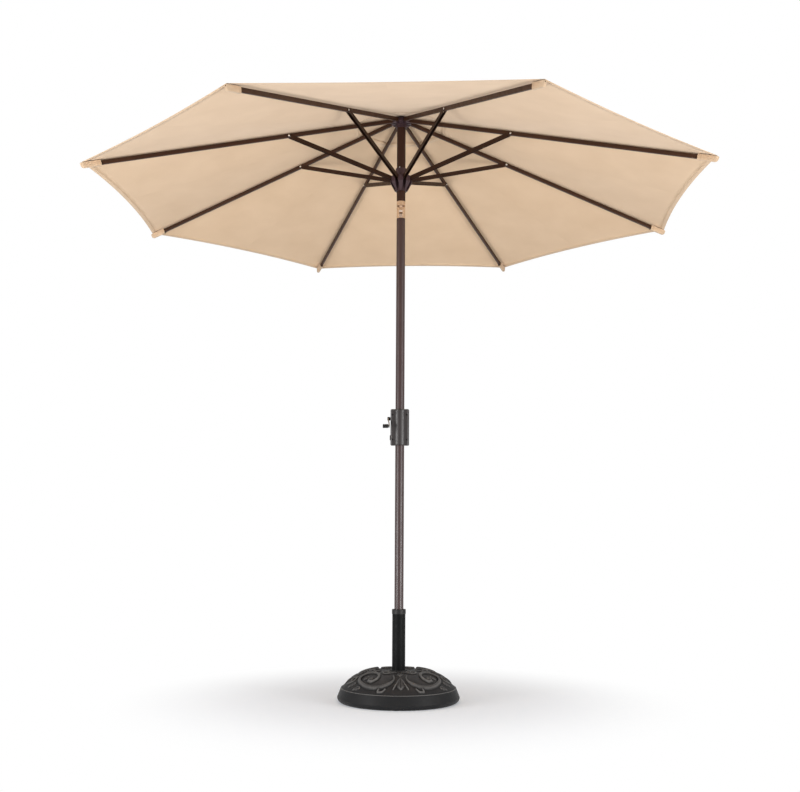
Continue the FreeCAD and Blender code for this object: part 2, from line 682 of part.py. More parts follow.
def tilt_fork():
    """The lower half of the tilt knuckle: a plug in the lower pole and two round-topped cheeks."""
    body = new_body("tilt_fork")
    plug = circle(sketch(body, "XY_Plane", "knuckle_height - knuckle_plug_length"), "0", "0", "plug_r")
    pad(body, plug, "knuckle_plug_length")
    cheeks = circle(sketch(body, "XY_Plane", "knuckle_height"), "0", "0", "pole_r")
    pad(body, cheeks, "tilt_height + pole_r - knuckle_height")
    crown = outline(
        sketch(body, "YZ_Plane"),
        [
            ("-pole_r", "tilt_height"),
            ("0", "tilt_height + pole_r"),
            ("pole_r", "tilt_height"),
            ("pole_od", "tilt_height"),
            ("pole_od", "tilt_height + pole_od"),
            ("-pole_od", "tilt_height + pole_od"),
            ("-pole_od", "tilt_height"),
        ],
        bends=[(0, "pole_r", 1), (1, "pole_r", 1)],
    )
    cut_both_ways(body, crown, "2 * pole_od")
    slot = rectangle(sketch(body, "XZ_Plane"), "-fork_slot / 2", "fork_slot / 2",
                     "tongue_slot_floor", "tilt_height + pole_od")
    cut_both_ways(body, slot, "2 * pole_od")
    pin = circle(sketch(body, "YZ_Plane"), "0", "tilt_height", "tilt_pin_od / 2 + fixed_gap")
    cut_both_ways(body, pin, "2 * pole_od")
    well_back = "(button_back + spring_length + seat_gap)"
    well = rectangle(sketch(body, "XZ_Plane", f"-{well_back}"), "-fork_slot / 2", "fork_slot / 2",
                     "button_bottom - fork_slot_play", "tilt_height")
    cut(body, well, f"{well_back} + pole_od", Reversed=True)
    return part(body)


def tilt_tongue():
    """The upper half of the tilt knuckle: a collar with a plug in the upper pole and a round tongue."""
    body = new_body("tilt_tongue")
    collar = circle(sketch(body, "XY_Plane", "collar_bottom"), "0", "0", "pole_r")
    pad(body, collar, "upper_pole_height - collar_bottom")
    plug = circle(sketch(body, "XY_Plane", "upper_pole_height"), "0", "0", "plug_r")
    pad(body, plug, "knuckle_plug_length")
    tongue = outline(
        sketch(body, "YZ_Plane"),
        [
            ("-tongue_radius", "tilt_height"),
            ("0", "tilt_height - tongue_radius"),
            ("tongue_radius", "tilt_height"),
            ("tongue_radius * 2 / 3", "collar_bottom + knuckle_shoulder"),
            ("-tongue_radius * 2 / 3", "collar_bottom + knuckle_shoulder"),
        ],
        bends=[(0, "tongue_radius", -1), (1, "tongue_radius", -1)],
    )
    bar(body, tongue, "tongue_width")
    hole = circle(sketch(body, "YZ_Plane"), "0", "tilt_height", "tilt_pin_od / 2 + running_gap")
    cut_both_ways(body, hole, "2 * pole_od")
    return part(body)


def tilt_pin():
    length = "(pole_r * 2 - 2 * seat_gap)"
    return part(cylinder("tilt_pin", "tilt_pin_od / 2", length, along_x(f"-{length} / 2", 0, "tilt_height")))


def tilt_button():
    body = new_body("tilt_button")
    face = rectangle(sketch(body, "XZ_Plane", "-button_back"), "-tongue_width / 2", "tongue_width / 2",
                     "button_bottom", "button_bottom + button_length")
    pad(body, face, "button_depth")
    edged(body, "Fillet", "button_corner", lambda edge: edge.BoundBox.YLength > size("button_depth") - 1)
    front = size("button_back") - size("button_depth")
    edged(body, "Fillet", "button_proud / 2", lambda edge: edge.BoundBox.YMax < front + 1e-3)
    return part(body)


def button_spring():
    """A coil spring along +Y behind the button: one wire, its section a hexagon, swept round a helix."""
    turns = size("spring_turns")
    wire = size("spring_wire_radius")
    pitch = (size("spring_length") - 2 * wire - 2 * size("seat_gap")) / turns
    coil = Part.makeHelix(pitch, pitch * turns, size("spring_radius"))
    corners = [Rotation(SIDE, 60 * k).multVec(Vector(wire, 0, 0)) for k in range(7)]
    section = Part.makePolygon([corner + Vector(size("spring_radius"), 0, 0) for corner in corners])
    made = DOC.addObject("Part::Feature", "button_spring")
    made.Shape = Part.Wire(coil.Edges).makePipeShell([section], True, True)
    start = "button_back + spring_wire_radius + seat_gap"
    made.Placement = at(0, start, "button_bottom + button_length / 2", Rotation(Vector(1, 0, 0), -90))
    return part(made)


# The crank


def housing_shell(name, facing):
    """One shell of the crank housing: a barrel round the pole between two wings. facing is -1 for the
    front shell and 1 for the rear one."""
    body = new_body(name)
    across = lambda text: f"{facing} * ({text})"
    barrel_x = "sqrt(housing_barrel_radius ^ 2 - housing_wing_depth ^ 2)"
    bore_x = "sqrt(housing_bore ^ 2 - (split_gap / 2) ^ 2)"
    split = across("split_gap / 2")
    wing = across("housing_wing_depth")
    corner = across("housing_wing_depth - housing_wing_corner")
    shell = outline(
        sketch(body, "XY_Plane", "housing_bottom"),
        [
            ("-housing_half_width", split),
            ("-housing_half_width", corner),
            ("-housing_half_width + housing_wing_corner", wing),
            (f"-{barrel_x}", wing),
            (barrel_x, wing),
            ("housing_half_width - housing_wing_corner", wing),
            ("housing_half_width", corner),
            ("housing_half_width", split),
            (bore_x, split),
            ("0", across("housing_bore")),
            (f"-{bore_x}", split),
        ],
        bends=[
            (1, "housing_wing_corner", facing),
            (3, "housing_barrel_radius", facing),
            (5, "housing_wing_corner", facing),
            (8, "housing_bore", -facing),
            (9, "housing_bore", -facing),
        ],
    )
    pad(body, shell, "housing_top - housing_bottom")
    if facing < 0:
        lug = outline(
            sketch(body, "XZ_Plane"),
            [
                ("-housing_half_width + lug_proud", "lug_bottom - lug_proud"),
                ("-housing_half_width - lug_proud", "lug_bottom + lug_proud"),
                ("-housing_half_width - lug_proud", "lug_top - lug_proud"),
                ("-housing_half_width + lug_proud", "lug_top + lug_proud"),
            ],
        )
        pad(body, lug, "lug_depth")
    ends = (size("housing_bottom"), size("housing_top"))
    outside = size("pole_r") + 2 * size("housing_bevel")

    def outer_end(edge):
        box = edge.BoundBox
        flat = box.ZLength < 1e-3 and min(abs(box.ZMin - end) for end in ends) < 1e-3
        reach = max(Vector(v.X, v.Y, 0).Length for v in edge.Vertexes)
        return flat and reach > outside and box.YLength + abs(box.YMin) > 1

    edged(body, "Chamfer", "housing_bevel", outer_end)
    shaft = circle(sketch(body, "YZ_Plane"), "0", "crank_height", "crank_shaft_od / 2 + running_gap")
    cut_both_ways(body, shaft, "2 * crank_hub_inner")
    holes = sketch(body, "XZ_Plane")
    sinks = sketch(body, "XZ_Plane", "housing_wing_depth - screw_sink")
    hole = "screw_radius + fixed_gap" if facing > 0 else "screw_radius + seat_gap"
    for x in ("-housing_screw_x", "housing_screw_x"):
        for z in ("housing_bottom + housing_screw_inset", "housing_top - housing_screw_inset"):
            circle(holes, x, z, hole)
            circle(sinks, x, z, "screw_head_radius + seat_gap")
    if facing < 0:
        cut_both_ways(body, holes, "2 * pole_od")
        cut(body, sinks, "screw_sink + housing_bevel", Reversed=True)
    else:
        body.removeObject(sinks)
        DOC.removeObject(sinks.Name)
        cut(body, holes, "screw_into_rear + split_gap")
    return part(body)


def housing_screws():
    screws = []
    face = "(screw_sink - housing_wing_depth)"
    for x in ("-housing_screw_x", "housing_screw_x"):
        for z in ("housing_bottom + housing_screw_inset", "housing_top - housing_screw_inset"):
            body = new_body("housing_screw")
            turned(body, outline(
                sketch(body, "XZ_Plane"),
                [
                    ("0", "-screw_head_height"),
                    ("screw_head_radius", "-screw_head_height"),
                    ("screw_head_radius", "0"),
                    ("screw_radius", "0"),
                    ("screw_radius", f"screw_into_rear - {face}"),
                    ("0", f"screw_into_rear - {face}"),
                ],
            ))
            body.Placement = at(x, face, z, Rotation(Vector(1, 0, 0), -90))
            screws.append(body)
    return part(compound("housing_screws", screws))


def crank_spool():
    """The crank's shaft with its cord spool, about +X."""
    body = new_body("crank_spool")
    shaft = "crank_shaft_od / 2"
    far_end = "housing_half_width - housing_wing_depth / 2"
    core = "(spool_half_width - spool_flange)"
    turned(body, outline(
        sketch(body, "XZ_Plane"),
        [
            ("-crank_hub_outer", "0"),
            (far_end, "0"),
            (far_end, shaft),
            ("spool_half_width", shaft),
            ("spool_half_width", "spool_flange_radius"),
            (core, "spool_flange_radius"),
            (core, "spool_core_radius"),
            (f"-{core}", "spool_core_radius"),
            (f"-{core}", "spool_flange_radius"),
            ("-spool_half_width", "spool_flange_radius"),
            ("-spool_half_width", shaft),
            ("-crank_hub_outer", shaft),
        ],
    ), axis="H_Axis")
    body.Placement = at(z="crank_height")
    return part(body)


def crank_place():
    """The arm's frame: its axis along X, hanging down before it is turned forward."""
    return at(z="crank_height") * turn("-crank_rest_angle", Vector(1, 0, 0))


def crank_arm():
    body = new_body("crank_arm")
    hub = circle(sketch(body, "YZ_Plane", "-crank_hub_outer"), "0", "0", "crank_hub_radius")
    pad(body, hub, "crank_hub_outer - crank_hub_inner")
    strap_end = "-(crank_arm_length + crank_arm_overhang)"
    strap = outline(
        sketch(body, "XZ_Plane"),
        [
            ("-crank_hub_outer + 1", "0"),
            ("-crank_hub_outer + 1 + crank_arm_thickness", "0"),
            ("-crank_hub_inner", "-crank_arm_length + grip_radius"),
            ("-crank_hub_inner", strap_end),
            ("-crank_hub_inner - crank_arm_thickness", strap_end),
            ("-crank_hub_inner - crank_arm_thickness", "-crank_arm_length + grip_radius"),
        ],
    )
    bar(body, strap, "crank_arm_width")
    low = size(strap_end)
    edged(body, "Fillet", "crank_arm_width / 2 - 0.5",
          lambda edge: edge.BoundBox.ZMax < low + 1e-3 and edge.BoundBox.YLength < 1e-3)
    holes = circle(sketch(body, "YZ_Plane"), "0", "0", "crank_shaft_od / 2 + fixed_gap")
    circle(holes, "0", "-crank_arm_length", "grip_pin_od / 2 + fixed_gap")
    cut(body, holes, "2 * crank_hub_outer")
    body.Placement = crank_place()
    return part(body)


def grip_pin():
    """The grip's pin, from the arm out to a head sunk in the grip's end."""
    body = new_body("grip_pin")
    head = "-grip_outer + 1"
    turned(body, outline(
        sketch(body, "XZ_Plane"),
        [
            (head, "0"),
            ("-crank_hub_inner", "0"),
            ("-crank_hub_inner", "grip_pin_od / 2"),
            (f"{head} + grip_pin_head_height", "grip_pin_od / 2"),
            (f"{head} + grip_pin_head_height", "grip_pin_head_radius"),
            (head, "grip_pin_head_radius"),
        ],
    ), axis="H_Axis")
    body.Placement = crank_place() * at(z="-crank_arm_length")
    return part(body)


def crank_grip():
    """The ribbed grip that turns on its pin."""
    body = new_body("crank_grip")
    bore = "(grip_pin_od / 2 + running_gap)"
    recess = "(-grip_outer + 1 + grip_pin_head_height + seat_gap)"
    taper = "grip_radius / 2"
    barrel = outline(
        sketch(body, "XZ_Plane"),
        [
            ("-grip_inner", bore),
            ("-grip_inner", "grip_radius * 2 / 3"),
            (f"-grip_inner - {taper}", "grip_radius"),
            ("-grip_outer + 1", "grip_radius"),
            ("-grip_outer", "grip_radius - 1"),
            ("-grip_outer", "grip_pin_head_radius + seat_gap"),
            (recess, "grip_pin_head_radius + seat_gap"),
            (recess, bore),
        ],
    )
    turned(body, barrel, axis="H_Axis")
    pitch = f"((grip_length - {taper}) / (grip_grooves + 1))"
    for index in range(1, int(size("grip_grooves")) + 1):
        middle = f"(-grip_outer + {index} * {pitch})"
        ring = rectangle(sketch(body, "XZ_Plane"), f"{middle} - grip_groove_width / 2",
                         f"{middle} + grip_groove_width / 2", "grip_radius - grip_groove_depth",
                         "grip_radius + 1")
        add(body, "Groove", ring, ReferenceAxis=(ring, ["H_Axis"]), Angle="360")
    body.Placement = crank_place() * at(z="-crank_arm_length")
    return part(body)


# The head: hub, runner, ribs and struts


def slotted(body, middle, slot_floor, rim, slot_width):
    """Cuts a slot for each rib and the blind cross hole of its pin."""
    slot = rectangle(sketch(body, "XY_Plane"), slot_floor, f"{rim} + hub_bevel", f"-{slot_width} / 2",
                     f"{slot_width} / 2")
    slots = cut_both_ways(body, slot, "3 * hinge_height")
    hole = circle(sketch(body, "XZ_Plane"), "hinge_radius", middle, "hinge_pin_od / 2 + fixed_gap")
    holes = cut_both_ways(body, hole, "hinge_pin_length + 2 * fixed_gap")
    around(body, [slots, holes], slot, "rib_count")
    body.Placement = turn("half_spacing")


def top_hub():
    body = new_body("top_hub")
    bore = "(pole_r + pole_seat_gap)"
    stud = "(stud_radius + fixed_gap)"
    crown = lambda radius: f"vent_apex - seat_gap - ({radius}) * gore_steepness"
    ceiling = "hinge_height + pole_into_hub + seat_gap"
    turned(body, outline(
        sketch(body, "XZ_Plane"),
        [
            (bore, "hinge_height - hub_neck"),
            ("hub_core", "hinge_height - hub_neck"),
            ("hub_core", "hinge_height - hub_below"),
            ("hub_radius - hub_bevel", "hinge_height - hub_below"),
            ("hub_radius", "hinge_height - hub_below + hub_bevel"),
            ("hub_radius", "hinge_height + hub_above - hub_bevel"),
            ("hub_radius - hub_bevel", "hinge_height + hub_above"),
            ("hub_core", "hinge_height + hub_above"),
            ("hub_core", crown("hub_core")),
            (stud, crown(stud)),
            (stud, ceiling),
            (bore, ceiling),
        ],
    ))
    slotted(body, "hinge_height", "hub_core", "hub_radius", "(rib_width + 2 * side_play)")
    return part(body)


def runner():
    body = new_body("runner")
    level = lambda text: f"runner_height + {text}"
    turned(body, outline(
        sketch(body, "XZ_Plane"),
        [
            ("runner_bore", level("-runner_foot")),
            ("runner_foot_radius", level("-runner_foot")),
            ("runner_radius", level("-runner_below")),
            ("runner_radius", level("runner_above - hub_bevel")),
            ("runner_radius - hub_bevel", level("runner_above")),
            ("runner_core", level("runner_above + hub_bevel")),
            ("runner_core", level("runner_neck")),
            ("runner_bore", level("runner_neck")),
        ],
    ))
    slotted(body, "runner_height", "runner_core", "runner_radius", "strut_slot")
    front = sketch(body, "XY_Plane", level("runner_neck + 1"))
    front.AttachmentOffset = turn("-half_spacing")
    keyway = rectangle(
        front,
        "-tongue_width / 2 - runner_keyway_gap",
        "tongue_width / 2 + runner_keyway_gap",
        "-pole_r - button_proud - runner_keyway_gap",
        "0",
    )
    cut(body, keyway, "runner_neck + runner_foot + 2")
    return part(body)


def cross_pin(azimuth):
    """A rib's hinge pin across its slot in the hub."""
    laid = Rotation(Vector(1, 0, 0), -90)
    place = turn(azimuth) * at("hinge_radius", "-hinge_pin_length / 2", "hinge_height", laid)
    return cylinder("hinge_pin", "hinge_pin_od / 2", "hinge_pin_length", place)


def head_pins():
    """The ribs' eight pins, the pulley's axle and the rivet that stops the runner."""
    pins = [cross_pin(rib_azimuth(index)) for index in ribs()]
    axle = cylinder("pulley_axle", "hinge_pin_od / 2", "pole_od",
                    along_x("-pole_r", 0, "hinge_height - pulley_drop"))
    stop = new_body("stop_rivet")
    turned(stop, outline(
        sketch(stop, "XZ_Plane"),
        [
            ("0", "pole_r"),
            ("stop_rivet_radius", "pole_r"),
            ("0", "pole_r + stop_rivet_proud"),
        ],
        bends=[(1, dome_radius("stop_rivet_radius", "stop_rivet_proud"), -1)],
    ))
    height = "runner_height + runner_neck + stop_rivet_gap + stop_rivet_radius"
    stop.Placement = at(z=height) * turn("stop_rivet_azimuth") * turn(90, SIDE)
    return part(compound("head_pins", pins + [axle, stop]))


def cord_pulley():
    """The grooved wheel in the top of the pole, about +X."""
    body = new_body("cord_pulley")
    half = "(pulley_thickness / 2)"
    waist = "(pulley_radius - pulley_groove_depth)"
    bore = "(hinge_pin_od / 2 + running_gap)"
    turned(body, outline(
        sketch(body, "XZ_Plane"),
        [
            (f"-{half}", bore),
            (half, bore),
            (half, "pulley_radius"),
            (f"{half} / 2", "pulley_radius"),
            ("0", waist),
            (f"-{half} / 2", "pulley_radius"),
            (f"-{half}", "pulley_radius"),
        ],
    ), axis="H_Axis")
    body.Placement = at(z="hinge_height - pulley_drop")
    return part(body)


def finial():
    body = new_body("finial")
    flange = lambda radius: f"vent_apex + fabric_thickness + seat_gap - ({radius}) * tan(rib_slope)"
    shoulder = "(vent_apex + fabric_thickness + seat_gap)"
    neck = f"({shoulder} + finial_neck_height)"
    centre = f"({neck} + sqrt(finial_ball_radius ^ 2 - finial_neck_radius ^ 2))"
    turned(body, outline(
        sketch(body, "XZ_Plane"),
        [
            ("0", "hinge_height + pole_into_hub + 2 * seat_gap"),
            ("stud_radius", "hinge_height + pole_into_hub + 2 * seat_gap"),
            ("stud_radius", flange("stud_radius")),
            ("finial_flange_radius", flange("finial_flange_radius")),
            ("finial_flange_radius", f"{flange('finial_flange_radius')} + finial_flange_edge"),
            ("finial_neck_radius", neck),
            ("finial_ball_radius", centre),
            ("0", f"{centre} + finial_ball_radius"),
        ],
        bends=[(4, "finial_flange_radius", 1), (5, "finial_ball_radius", -1), (6, "finial_ball_radius", -1)],
    ))
    return part(body)


def ribs():
    return range(1, int(size("rib_count")) + 1)


def side_bar(body, start, end, depth, width):
    """A bar along +X, round about its start, with its sides across Y."""
    shape = outline(
        sketch(body, "XZ_Plane"),
        [
            (start, f"{depth} / 2"),
            (f"-{depth} / 2", "0"),
            (start, f"-{depth} / 2"),
            (end, f"-{depth} / 2"),
            (end, f"{depth} / 2"),
        ],
        bends=[(0, f"{depth} / 2", -1), (1, f"{depth} / 2", -1)],
    )
    return bar(body, shape, width)


def rib_tube(index):
    """A rib along its own +X from its hinge: a rectangular tube with a solid inner end."""
    body = new_body(f"rib_tube_{index}")
    end = "(rib_length - rib_tip_setback)"
    side_bar(body, "0", end, "rib_depth", "rib_width")
    long_edge = size(end) - 1
    edged(body, "Fillet", "rib_corner", lambda edge: edge.BoundBox.XLength > long_edge)
    inside = rectangle(sketch(body, "YZ_Plane", end), "-rib_width / 2 + rib_wall", "rib_width / 2 - rib_wall",
                       "-rib_depth / 2 + rib_wall", "rib_depth / 2 - rib_wall")
    cut(body, inside, f"{end} - rib_solid_end")
    holes = circle(sketch(body, "XZ_Plane"), "0", "0", "hinge_pin_od / 2 + running_gap")
    circle(holes, "link_length", "0", "hinge_pin_od / 2 + running_gap")
    cut_both_ways(body, holes, "2 * rib_width")
    return body


def rib_tip(index):
    """The plug that closes a rib's outer end, with a rounded nose."""
    body = new_body(f"rib_tip_{index}")
    face = "(rib_length - rib_tip_setback)"
    nose = outline(
        sketch(body, "XZ_Plane"),
        [
            (face, "-rib_depth / 2"),
            (f"{face} + tip_plug_flange", "-rib_depth / 4"),
            (f"{face} + tip_plug_flange", "rib_depth / 4"),
            (face, "rib_depth / 2"),
        ],
    )
    bar(body, nose, "rib_width")
    gap = "(rib_wall + seat_gap)"
    plug = rectangle(sketch(body, "YZ_Plane", face), f"-rib_width / 2 + {gap}", f"rib_width / 2 - {gap}",
                     f"-rib_depth / 2 + {gap}", f"rib_depth / 2 - {gap}")
    pad(body, plug, "tip_plug_length", Reversed=True)
    return body


def rib(index):
    pieces = [rib_tube(index), rib_tip(index)]
    place = turn(rib_azimuth(index)) * at("hinge_radius", 0, "hinge_height") * turn("rib_slope", SIDE)
    for piece in pieces:
        piece.Placement = place
    return part(compound(f"rib_{index}", pieces))


def strut_channel(index):
    """A strut along its own +X from its rivet to the runner: a channel open to its underside, whose
    sides straddle the rib, and which the rib nests in when the umbrella is closed."""
    body = new_body(f"strut_channel_{index}")
    half = "strut_depth / 2"
    outside = outline(
        sketch(body, "XZ_Plane"),
        [
            ("0", half),
            (f"-{half}", "0"),
            ("0", f"-{half}"),
            ("link_length", f"-{half}"),
            (f"link_length + {half}", "0"),
            ("link_length", half),
        ],
        bends=[(0, half, -1), (1, half, -1), (3, half, -1), (4, half, -1)],
    )
    bar(body, outside, "strut_width")
    inside = outline(
        sketch(body, "XZ_Plane"),
        [
            ("-strut_depth", "-strut_depth"),
            ("link_length + strut_depth", "-strut_depth"),
            ("link_length + strut_depth", f"{half} - strut_wall"),
            ("strut_web_setback", f"{half} - strut_wall"),
            ("strut_web_setback", "strut_depth"),
            ("-strut_depth", "strut_depth"),
        ],
    )
    cut_both_ways(body, inside, "strut_width - 2 * strut_wall")
    holes = circle(sketch(body, "XZ_Plane"), "0", "0", "hinge_pin_od / 2 + fixed_gap")
    circle(holes, "link_length", "0", "hinge_pin_od / 2 + fixed_gap")
    cut_both_ways(body, holes, "2 * strut_width")
    return body


def strut_rivet(index):
    """The rivet through a strut and its rib, domed at both ends."""
    body = new_body(f"strut_rivet_{index}")
    face = "(strut_width / 2)"
    crown = dome_radius("rivet_head_radius", "rivet_head_height")
    turned(body, outline(
        sketch(body, "XZ_Plane"),
        [
            ("0", f"-{face} - rivet_head_height"),
            ("rivet_head_radius", f"-{face}"),
            ("hinge_pin_od / 2", f"-{face}"),
            ("hinge_pin_od / 2", face),
            ("rivet_head_radius", face),
            ("0", f"{face} + rivet_head_height"),
        ],
        bends=[(0, crown, -1), (4, crown, -1)],
    ))
    return body


def strut(index):
    """A strut with its rivet and the pin of its runner end, which stops short of the runner's cheeks."""
    rivet_place = turn(rib_azimuth(index)) * at("rivet_radius", 0, "rivet_height")
    place = rivet_place * turn(180) * turn("rib_slope", SIDE)
    across = turn(90, Vector(1, 0, 0))
    channel = strut_channel(index)
    channel.Placement = place
    rivet = strut_rivet(index)
    rivet.Placement = place * across
    length = "(strut_width + side_play)"
    pin_place = place * at("link_length") * across * at(z=f"-{length} / 2")
    pin = cylinder(f"strut_pin_{index}", "hinge_pin_od / 2", length, pin_place)
    return part(compound(f"strut_{index}", [channel, rivet, pin]))


# The canopy


def panel(name, index, apex, inner, outer, scallop):
    """One panel, from mid-way between two ribs, over its rib, to mid-way to the next: two thin flat
    slopes that meet over the rib, each cut from a slab that slopes down along its gore's middle."""
    body = new_body(f"{name}_{index}")
    gore_line = sketch(body, "XZ_Plane")
    gore_line.AttachmentOffset = turn("half_spacing", SIDE)
    height = lambda along: f"{apex} - ({along}) * gore_steepness"
    slab = outline(gore_line, [
        ("0", height("0")),
        (outer, height(outer)),
        (outer, f"{height(outer)} + fabric_thickness"),
        ("0", f"{height('0')} + fabric_thickness"),
    ])
    bar(body, slab, f"2 * {outer}")
    hem_middle = f"({outer} * cos(half_spacing) - {scallop})"
    half_hem = f"({outer} * sin(half_spacing))"
    hem_radius = f"(({half_hem} ^ 2 + {scallop} ^ 2) / (2 * {scallop}))"
    in_gore = lambda along: (
        f"{along} * cos(half_spacing) + panel_gap * sin(half_spacing)",
        f"{along} * sin(half_spacing) - panel_gap * cos(half_spacing)",
    )
    beyond = f"2 * {outer}"
    trim = rectangle(sketch(body, "XY_Plane"), f"-{beyond}", beyond, f"-{beyond}", beyond)
    outline(
        trim,
        [(inner, "0"), (outer, "0"), in_gore(hem_middle), in_gore(f"({inner} * cos(half_spacing))")],
        bends=[(1, hem_radius, 1)],
    )
    cut_both_ways(body, trim, "3 * hinge_height")
    DOC.recompute()
    mirrored = body.newObject("PartDesign::Mirrored", "Mirrored")
    mirrored.TransformMode = "Whole shape"
    mirrored.MirrorPlane = (trim, ["H_Axis"])
    body.Tip = mirrored
    body.Placement = turn(rib_azimuth(index))
    return part(body)


def canopy_panel(index):
    return panel("canopy_panel", index, "canopy_apex", "vent_hole_radius", "canopy_radius", "hem_scallop")


def vent_panel(index):
    return panel("vent_panel", index, "vent_apex", "vent_inner", "vent_radius", "vent_scallop")


# Building, checking and writing


def build():
    for make in (
        base_weight, base_feet, stem_tube, stem_bolt, stem_bush, clamp_stud, clamp_knob,
        lower_pole, pole_foot_plug, tilt_fork, tilt_pin, tilt_button, button_spring,
    ):
        make()
    housing_shell("crank_housing_front", -1)
    housing_shell("crank_housing_rear", 1)
    for make in (
        housing_screws, crank_spool, crank_arm, grip_pin, crank_grip, upper_pole, tilt_tongue,
        top_hub, head_pins, cord_pulley, finial, runner,
    ):
        make()
    for index in ribs():
        for make in (rib, strut, canopy_panel, vent_panel):
            make(index)
    DOC.recompute()


def check():
    """Stops on a failed object, a cut that took nothing away, or a sub-part that isn't sound."""
    for thing in DOC.Objects:
        if "Invalid" in thing.State or "Error" in thing.State:
            raise RuntimeError(f"{thing.Name} ({thing.Label}) failed: {thing.State}")
    for thing in CUTS:
        if thing.Shape.Volume > thing.BaseFeature.Shape.Volume - 1e-3:
            raise RuntimeError(f"{thing.Name} of {thing.getParent().Label} cut nothing")
    for thing in PARTS:
        if thing.Shape.isNull() or not thing.Shape.isValid() or not thing.Shape.Solids:
            raise RuntimeError(f"{thing.Label} has no valid shape")


def write():
    os.makedirs("parts", exist_ok=True)
    for thing in PARTS:
        thing.Shape.exportStep(f"parts/{thing.Label}.step")
    print(f"{len(PARTS)} sub-parts written")


build()
check()
write()
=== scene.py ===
"""Patio umbrella with base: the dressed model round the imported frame. Metres, +Z up, front -Y."""

import math

import bpy
import numpy as np
from mathutils import Matrix, Vector

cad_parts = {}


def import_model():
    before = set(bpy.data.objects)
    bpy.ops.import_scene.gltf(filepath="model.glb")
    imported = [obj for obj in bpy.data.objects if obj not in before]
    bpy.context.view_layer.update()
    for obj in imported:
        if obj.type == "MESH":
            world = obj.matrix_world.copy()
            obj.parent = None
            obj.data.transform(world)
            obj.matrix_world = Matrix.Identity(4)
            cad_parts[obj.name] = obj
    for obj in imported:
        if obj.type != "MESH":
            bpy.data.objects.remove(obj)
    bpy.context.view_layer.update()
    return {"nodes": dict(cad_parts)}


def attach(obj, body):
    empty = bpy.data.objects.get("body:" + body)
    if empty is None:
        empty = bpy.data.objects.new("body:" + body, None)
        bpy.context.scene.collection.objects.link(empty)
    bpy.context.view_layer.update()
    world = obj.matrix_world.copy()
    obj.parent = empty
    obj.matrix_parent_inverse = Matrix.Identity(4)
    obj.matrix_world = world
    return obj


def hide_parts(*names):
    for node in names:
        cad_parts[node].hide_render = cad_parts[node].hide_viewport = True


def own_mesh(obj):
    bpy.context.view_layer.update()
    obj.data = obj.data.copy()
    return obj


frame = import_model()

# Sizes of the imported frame: the ribs' hinges, slope and tops, the canopy's radii at the tips, at the
# vent hole and at the vent cap, the rivets' place along a rib, the crank's axis and the base's dome.

RIBS = range(1, 9)
HALF_GORE = math.radians(22.5)
SLOPE = math.radians(15.64)
HINGE_R, HINGE_Z = 0.033, 2.502
RIB_TOP = 0.009
CANOPY_R, HOLE_R, VENT_R = 1.350, 0.195, 0.300
RIB_LENGTH = (CANOPY_R - HINGE_R) / math.cos(SLOPE)
RIVET_S = 0.496
STRUT_SIDE = 0.0071
CRANK_Z, CRANK_HUB_R = 1.178, 0.0082
DOME_IN, DOME_OUT = 0.080, 0.235
DOME_TOP, DOME_LOW, DOME_CURVE = 0.125, 0.058, 0.205
RIM_EDGE = 0.2385

# Sizes of the cloth. The gap over the ribs is the room that they need in the fold. The vent cap
# starts a little under the canopy's apex and falls less steeply.

CLOTH_GAP = 0.005
VENT_SINK, VENT_EASE = 0.0002, 0.02
CANOPY_FALL = math.tan(SLOPE)
APEX_Z = HINGE_Z + HINGE_R * CANOPY_FALL + (RIB_TOP + CLOTH_GAP) / math.cos(SLOPE)
VENT_APEX_Z = APEX_Z - VENT_SINK
VENT_FALL = CANOPY_FALL - VENT_EASE
VENT_IN, CROWN_R, CROWN_LIFT = 0.040, 0.045, 0.0004
HEM_FOLD, HEM_BEND, HEM_DROP = 0.016, 0.0009, 0.0008
HEM_STITCH, SEAM_STITCH, STITCH_HALF = 0.0135, 0.0055, 0.0007
POCKET_LENGTH = 0.078


# Camera

def make_camera():
    """Stands 4.55 m off and 0.71 m over the floor, and looks up by 7.14 degrees."""
    azimuth = math.radians(-87.46)
    distance, height = 4.549, 0.7064
    pitch, roll = math.radians(7.14), math.radians(0.30)
    eye = Vector((distance * math.cos(azimuth), distance * math.sin(azimuth), height))
    level = Vector((-math.cos(azimuth), -math.sin(azimuth), 0))
    look = level * math.cos(pitch) + Vector((0, 0, math.sin(pitch)))
    right = look.cross(Vector((0, 0, 1))).normalized()
    up = right.cross(look)
    turn = Matrix((right, up, -look)).transposed() @ Matrix.Rotation(roll, 3, "Z")
    data = bpy.data.cameras.new("camera")
    data.sensor_fit = "HORIZONTAL"
    data.sensor_width = 36.0
    data.lens = 48.04065
    data.clip_end = 100
    camera = bpy.data.objects.new("camera", data)
    camera.matrix_world = Matrix.Translation(eye) @ turn.to_4x4()
    bpy.context.scene.collection.objects.link(camera)
    bpy.context.scene.camera = camera


make_camera()


# Materials

def linear(red, green, blue):
    """sRGB numbers from 0 to 255 as a linear colour."""
    def one(value):
        value /= 255
        return value / 12.92 if value <= 0.04045 else ((value + 0.055) / 1.055) ** 2.4
    return (one(red), one(green), one(blue), 1.0)


def scaled(colour, factor, lift=0.0):
    """A colour with its three channels multiplied by factor and raised by lift."""
    return tuple(min(1.0, channel * factor + lift) for channel in colour[:3]) + (1.0,)


